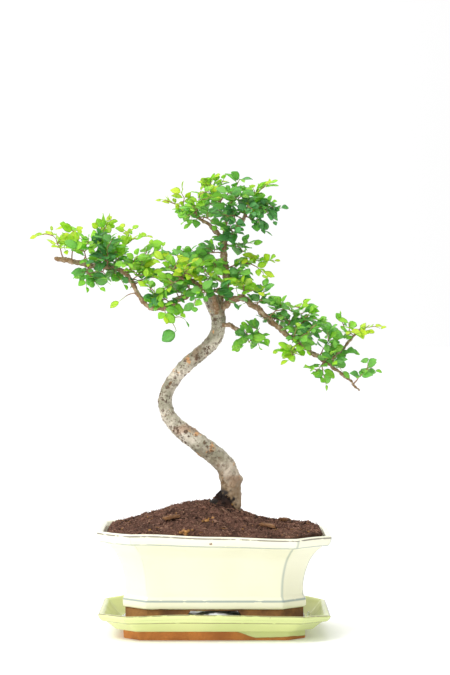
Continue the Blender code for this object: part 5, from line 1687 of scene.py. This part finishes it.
@dataclass
class LeafTable:
    """Where each leaf of a cloud sits: one row for each leaf."""

    base: list[Array] = field(default_factory=list)
    axis: list[Array] = field(default_factory=list)
    normal: list[Array] = field(default_factory=list)
    size: list[float] = field(default_factory=list)
    tone: list[float] = field(default_factory=list)

    def add(self, base: Array, axis: Array, normal: Array, size: float, tone: float) -> None:
        """Adds one leaf. Its normal is made square to its axis."""
        axis = axis / np.linalg.norm(axis)
        normal = normal - axis * normal.dot(axis)
        self.base.append(base)
        self.axis.append(axis)
        self.normal.append(normal / max(np.linalg.norm(normal), 1e-6))
        self.size.append(size)
        self.tone.append(tone)


@dataclass
class Foliage:
    """The leafy shoots of one cloud."""

    cloud: Cloud
    leaf_length: float = 13.6
    leaf_width: float = 8.8
    blade: float = 0.13
    pitch: float = 4.3
    shoot_radius: float = 0.72
    rows: int = 9
    hanging_axis: tuple[float, float, float] = (-0.75, -0.2, -0.5)
    hanging_facing: tuple[float, float, float] = (-0.1, -1.0, 0.3)
    seed: int = 7

    def shoot_line(self, start: Array, tip: Array, dice: np.random.Generator) -> Array:
        """A shoot that bows upwards and sways: points of (x, y, z, radius) about a pitch apart."""
        length = float(np.linalg.norm(tip - start))
        count = max(4, int(round(length / self.pitch)) + 1)
        t = np.linspace(0, 1, count)[:, None]
        middle = 0.5 * (start + tip) + np.array([0, 0, 0.15 * length]) + dice.normal(0, 0.05 * length, 3)
        line = (1 - t) ** 2 * start + 2 * t * (1 - t) * middle + t**2 * tip
        zigzag = 0.35 * (np.arange(count) % 2 * 2 - 1)[:, None] * dice.normal(0, 1, 3)
        line = line + zigzag * (t > 0.1)
        radius = self.shoot_radius * (1 - 0.62 * t) * min(1.0, 0.55 + length / 60)
        return np.hstack([line, radius])

    def hang_leaves(
        self, line: Array, age: Age, leaves: LeafTable, dice: np.random.Generator, bare: float = 0.0
    ) -> None:
        """Leaves on alternate sides of a shoot past its bare start, and one at its end.

        Args:
            line: the shoot.
            age: the tone of its leaves. They get younger towards the tip.
            leaves: the table they are added to.
            dice: the source of chance.
            bare: share of the shoot without leaves, besides its start.
        """
        ahead = unit(np.gradient(line[:, :3], axis=0))
        count = len(line)
        sign = 1 if dice.random() < 0.5 else -1
        for k in range(1 if count < 6 else 2, count):
            sign = -sign
            way = ahead[k]
            side = np.cross(way, np.array([0.0, 0.0, 1.0]))
            side = side / max(np.linalg.norm(side), 0.2)
            up = np.cross(side, way)
            share = k / (count - 1)
            last = k == count - 1
            if share < bare:
                continue
            if last and bare > 0.8:
                size = 1.15 if age is Age.GROWN else 0.8
                axis, facing = np.array(self.hanging_axis), np.array(self.hanging_facing)
                leaves.add(line[k, :3], axis, facing, size, age.value)
                continue
            for twin in (0, 1) if dice.random() < 0.45 and not last else (0,):
                flip = sign if twin == 0 else -sign
                angle = 0.15 if last else dice.uniform(0.75, 1.2)
                axis = way * math.cos(angle) + side * flip * math.sin(angle)
                axis = axis + up * dice.uniform(-0.25, 0.45) + dice.normal(0, 0.16, 3)
                facing = up * 0.6 + np.array([-0.1, -0.62, 0.3]) + dice.normal(0, 0.42, 3)
                grown = 1 - 0.35 * share**3
                size = dice.uniform(0.62, 1.12) * grown * (0.86 if age is Age.YELLOW else 1.0)
                tone = age.value + 0.24 * share**2 * (age.value > 0.3) + dice.normal(0, 0.075)
                leaves.add(line[k, :3], axis, facing, size, tone)

    def limb_start(self, limb: Array, tip: Array) -> Array:
        """The point inside a limb where a shoot to this tip begins: a little before the nearest."""
        usable = limb[len(limb) // 6 : -3]
        gap = np.linalg.norm(usable[:, :3] - tip, axis=1)
        return usable[int(gap.argmin()), :3]

    def grow(self, lines: dict[str, Array], move: Array) -> tuple[list[Array], LeafTable]:
        """Every shoot of the cloud, and its leaves.

        Args:
            lines: the limbs.
            move: offset of the tree's own frame.

        Returns:
            The shoots as lines, and the table of leaves.
        """
        dice = np.random.default_rng(self.seed + 10 * list(Cloud).index(self.cloud))
        shoots = []
        leaves = LeafTable()
        for limb, tips, age in SPRAYS:
            if limb not in self.cloud.value:
                continue
            places = np.array(tips, float) + move
            main = self.shoot_line(self.limb_start(lines[limb], places[0]), places[0], dice)
            shoots.append(main)
            lone = tips[0] in LONE_TIPS
            self.hang_leaves(main, age, leaves, dice, 0.86 if lone else 0.0)
            for tip in places[1:]:
                fork = main[max(1, int(0.45 * len(main))), :3]
                side = self.shoot_line(fork, tip, dice)
                shoots.append(side)
                self.hang_leaves(side, age, leaves, dice, 0.7 if lone else 0.0)
            for share in () if lone else (0.35, 0.75):
                extra = main[max(1, int(share * len(main))), :3]
                way = unit(dice.normal(0, 1, 3) * np.array([1, 0.8, 0.6]) + (0, -0.4, 0.3))
                spur = self.shoot_line(extra, extra + way * dice.uniform(8, 15), dice)
                shoots.append(spur)
                self.hang_leaves(spur, age, leaves, dice)
        return shoots, leaves

    def shoot_skin(self, shoots: list[Array], age_share: float = 0.55) -> Skin:
        """All shoots of the cloud as thin tubes, greener towards their tips."""
        skins = []
        for line in shoots:
            young = np.clip((np.linspace(0, 1, len(line)) - age_share) / (1 - age_share), 0, 1)
            fine = smoothed(np.column_stack([line, young]), 2)
            skins.append(tube(fine[:, :4], 6, {"young": np.clip(fine[:, 4], 0, 1)}))
        return Skin.joined(skins)

    def leaf_skin(self, leaves: LeafTable) -> Skin:
        """Every leaf of the cloud at once, each a thin closed lens on a short stalk.

        Along the leaf its half width is a power of a sine, with shallow teeth at every other
        row. Across, the blade folds up from its midrib, and along it the tip bends down. Eight
        points go round the blade: three on top, three below and one at each edge.
        """
        dice = np.random.default_rng(self.seed + 500 + list(Cloud).index(self.cloud))
        base, axis, normal = np.array(leaves.base), np.array(leaves.axis), np.array(leaves.normal)
        size = np.array(leaves.size)[:, None, None]
        count = len(base)
        wide = np.cross(normal, axis)
        stalk = 0.12
        body = 0.5 - 0.5 * np.cos(np.linspace(0, math.pi, self.rows - 1))
        s = np.append(0.0, stalk + (1 - stalk) * body)[None, :, None]
        body = np.append(0.0, body)[None, :, None]
        plump = dice.uniform(0.85, 1.18, (count, 1, 1))
        half = 0.5 * self.leaf_width * plump * np.sin(math.pi * body**0.92) ** 0.66
        teeth = 1 + 0.03 * (np.arange(self.rows) % 2 * 2 - 1)[None, :, None]
        half = np.maximum(half * teeth, 0.24)
        w = np.array([-1.0, -0.5, 0.0, 0.5, 1.0, 0.5, 0.0, -0.5])[None, None]
        top = np.array([0.0, 1.0, 1.0, 1.0, 0.0, -1.0, -1.0, -1.0])[None, None]
        fold = dice.uniform(0.05, 0.30, (count, 1, 1))
        bend = dice.uniform(-0.02, 0.30, (count, 1, 1))
        twist = dice.normal(0, 0.30, (count, 1, 1)) * s
        wave = 0.05 * self.leaf_width * np.sin(7 * s + dice.uniform(0, 6, (count, 1, 1)))
        wave = wave * np.abs(w) * np.sign(w)
        thick = self.blade * (0.6 + 0.9 * (1 - np.abs(w))) * np.where(s < stalk, 1.6, 1.0)
        across = half * w
        out = fold * half * np.abs(w) ** 1.5 * 1.6 + thick * top + wave * np.clip(half / 2, 0, 1)
        along_leaf = self.leaf_length * s * (1 - 0.15 * bend) + 0 * w
        out = out - bend * self.leaf_length * s**2 * 0.8 + bend * self.leaf_length * 0.25 * s
        turned = across * np.cos(twist) - out * np.sin(twist) * 0.3
        lifted = out + across * np.sin(twist) * 0.6
        points = base[:, None, None] + size[..., None] * (
            axis[:, None, None] * along_leaf[..., None]
            + wide[:, None, None] * turned[..., None]
            + normal[:, None, None] * lifted[..., None]
        )
        ring = 8
        per_leaf = self.rows * ring
        index = np.arange(count * per_leaf).reshape(count, self.rows, ring)
        turned_index = np.roll(index, -1, 2)
        poles = count * per_leaf + np.arange(2 * count).reshape(count, 2)
        first = np.stack([turned_index[:, 0], index[:, 0], np.repeat(poles[:, :1], ring, 1)], -1)
        last = np.stack([index[:, -1], turned_index[:, -1], np.repeat(poles[:, 1:], ring, 1)], -1)
        ends = np.stack([points[:, 0].mean(1), points[:, -1].mean(1)], 1).reshape(-1, 3)
        uv = np.stack(np.broadcast_arrays(0.5 + 0.5 * w, s + 0 * w), -1)
        uv = np.broadcast_to(uv, (count, self.rows, ring, 2)).reshape(-1, 2)
        uv = np.vstack([uv, np.tile([[0.5, 0.0], [0.5, 1.0]], (count, 1))])
        tone = np.array(leaves.tone)
        under = np.broadcast_to(np.where(top < 0, 1.0, 0.0), (count, self.rows, ring)).ravel()
        values = {
            "tone": np.concatenate([np.repeat(tone, per_leaf), np.repeat(tone, 2)]),
            "under": np.concatenate([under, np.zeros(2 * count)]),
        }
        tris = np.concatenate([first.reshape(-1, 3), last.reshape(-1, 3)])
        return Skin(np.vstack([points.reshape(-1, 3), ends]), ring_quads(index), tris, values, uv)

    def dress(
        self, lines: dict[str, Array], move: Array, leaf: bpy.types.Material, bark: bpy.types.Material
    ) -> None:
        """Puts the cloud's shoots and leaves into the scene."""
        shoots, leaves = self.grow(lines, move)
        name = self.cloud.name.lower()
        settle(self.shoot_skin(shoots).put(f"shoots_{name}", bark), "bark_and_leaves")
        settle(self.leaf_skin(leaves).put(f"leaves_{name}", leaf), "bark_and_leaves")
        LOG.info("%s cloud: %d shoots, %d leaves", name, len(shoots), len(leaves.size))


# ---------------------------------------------------------------- the studio
@dataclass
class Studio:
    """A plain pale floor, soft white light and the camera."""

    camera_place: tuple[float, float, float] = (0.0093, -2.0, 0.295)
    pitch_down: float = 0.955
    lens: float = 120.0
    sky: tuple[float, float] = (1.40, 0.70)
    key_power: float = 17.0
    top_power: float = 7.0

    def floor(self) -> None:
        """A wide pale floor, which isn't part of the object."""
        skin = Skin(
            np.array([[-1, -1, 0], [1, -1, 0], [1, 1, 0], [-1, 1, 0]]) * 12000.0, np.array([[0, 1, 2, 3]])
        )
        material, hand, shader = new_material("pale_floor")
        cloud = hand.spread(hand.noise(hand.place(), 3.0), 0.3, 0.7)
        hand.link(hand.mix(cloud, (0.93, 0.93, 0.93), (0.95, 0.95, 0.95)), shader.inputs["Base Color"])
        shader.inputs["Roughness"].default_value = 0.7
        shader.inputs["Specular IOR Level"].default_value = 0.1
        shader.inputs["Emission Color"].default_value = (1.0, 1.0, 1.0, 1.0)
        shader.inputs["Emission Strength"].default_value = 0.08
        item = skin.put("floor", material)

    def light(self, name: str, place: Array, aim: Array, size: float, power: float) -> None:
        """One square soft light that faces a point."""
        lamp = bpy.data.lights.new(name, "AREA")
        lamp.size = size
        lamp.energy = power
        item = bpy.data.objects.new(name, lamp)
        bpy.context.scene.collection.objects.link(item)
        way = unit(np.array(aim) - np.array(place))
        item.location = place
        item.rotation_euler = (math.acos(-way[2]), 0.0, math.atan2(way[0], -way[1]) + math.pi)

    def set_up(self) -> None:
        """Builds the floor, the lights, the white surroundings and the camera."""
        self.floor()
        world = bpy.data.worlds.new("white_room")
        bpy.context.scene.world = world
        world.use_nodes = True
        hand = Graph(world.node_tree)
        split = hand.add("SeparateXYZ", {0: hand.add("TexCoord").outputs["Generated"]})
        wall = world.node_tree.nodes["Background"]
        wall.inputs[0].default_value = (1.0, 1.0, 1.0, 1.0)
        hand.link(hand.spread(split.outputs[0], -0.9, 0.9, *self.sky), wall.inputs[1])
        aim = np.array([0.0, 0.0, 0.2])
        self.light("key", np.array([-1.0, -1.0, 1.5]), aim, 0.7, self.key_power)
        self.light("top", np.array([0.1, 0.2, 1.7]), aim, 0.9, self.top_power)
        bpy.context.scene.view_settings.view_transform = "Standard"
        lens = bpy.data.cameras.new("camera")
        lens.lens = self.lens
        lens.clip_end = 100.0
        camera = bpy.data.objects.new("camera", lens)
        bpy.context.scene.collection.objects.link(camera)
        camera.location = self.camera_place
        camera.rotation_euler = (math.radians(90 - self.pitch_down), 0.0, 0.0)
        bpy.context.scene.camera = camera


def main() -> None:
    """Builds every piece in order."""
    logging.basicConfig(level=logging.INFO, format="%(message)s")
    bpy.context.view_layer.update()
    effects = SharedEffects()
    pot = GlazedPot()
    pot.dress(effects)
    DripTray().dress(effects)
    Liner().dress(effects)
    plastic = ScreenPlastic().material(effects)
    for name in ("drain_screen_left", "drain_screen_right"):
        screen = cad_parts[name]
        screen.data.materials.clear()
        screen.data.materials.append(plastic)
    soil = SoilBed(pot)
    soil.dress(effects)
    WoodChips().dress(effects)
    wood = Wood(soil)
    lines = wood.lines()
    wood.dress(effects, lines)
    move = soil.collar() - np.array(TRUNK_LINE[0][:3], float)
    leaf = ElmLeaf().material(effects)
    bark = YoungShoot().material(effects)
    for cloud in Cloud:
        Foliage(cloud).dress(lines, move, leaf, bark)
    Studio().set_up()
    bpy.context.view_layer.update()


if __name__ == "__main__":
    main()
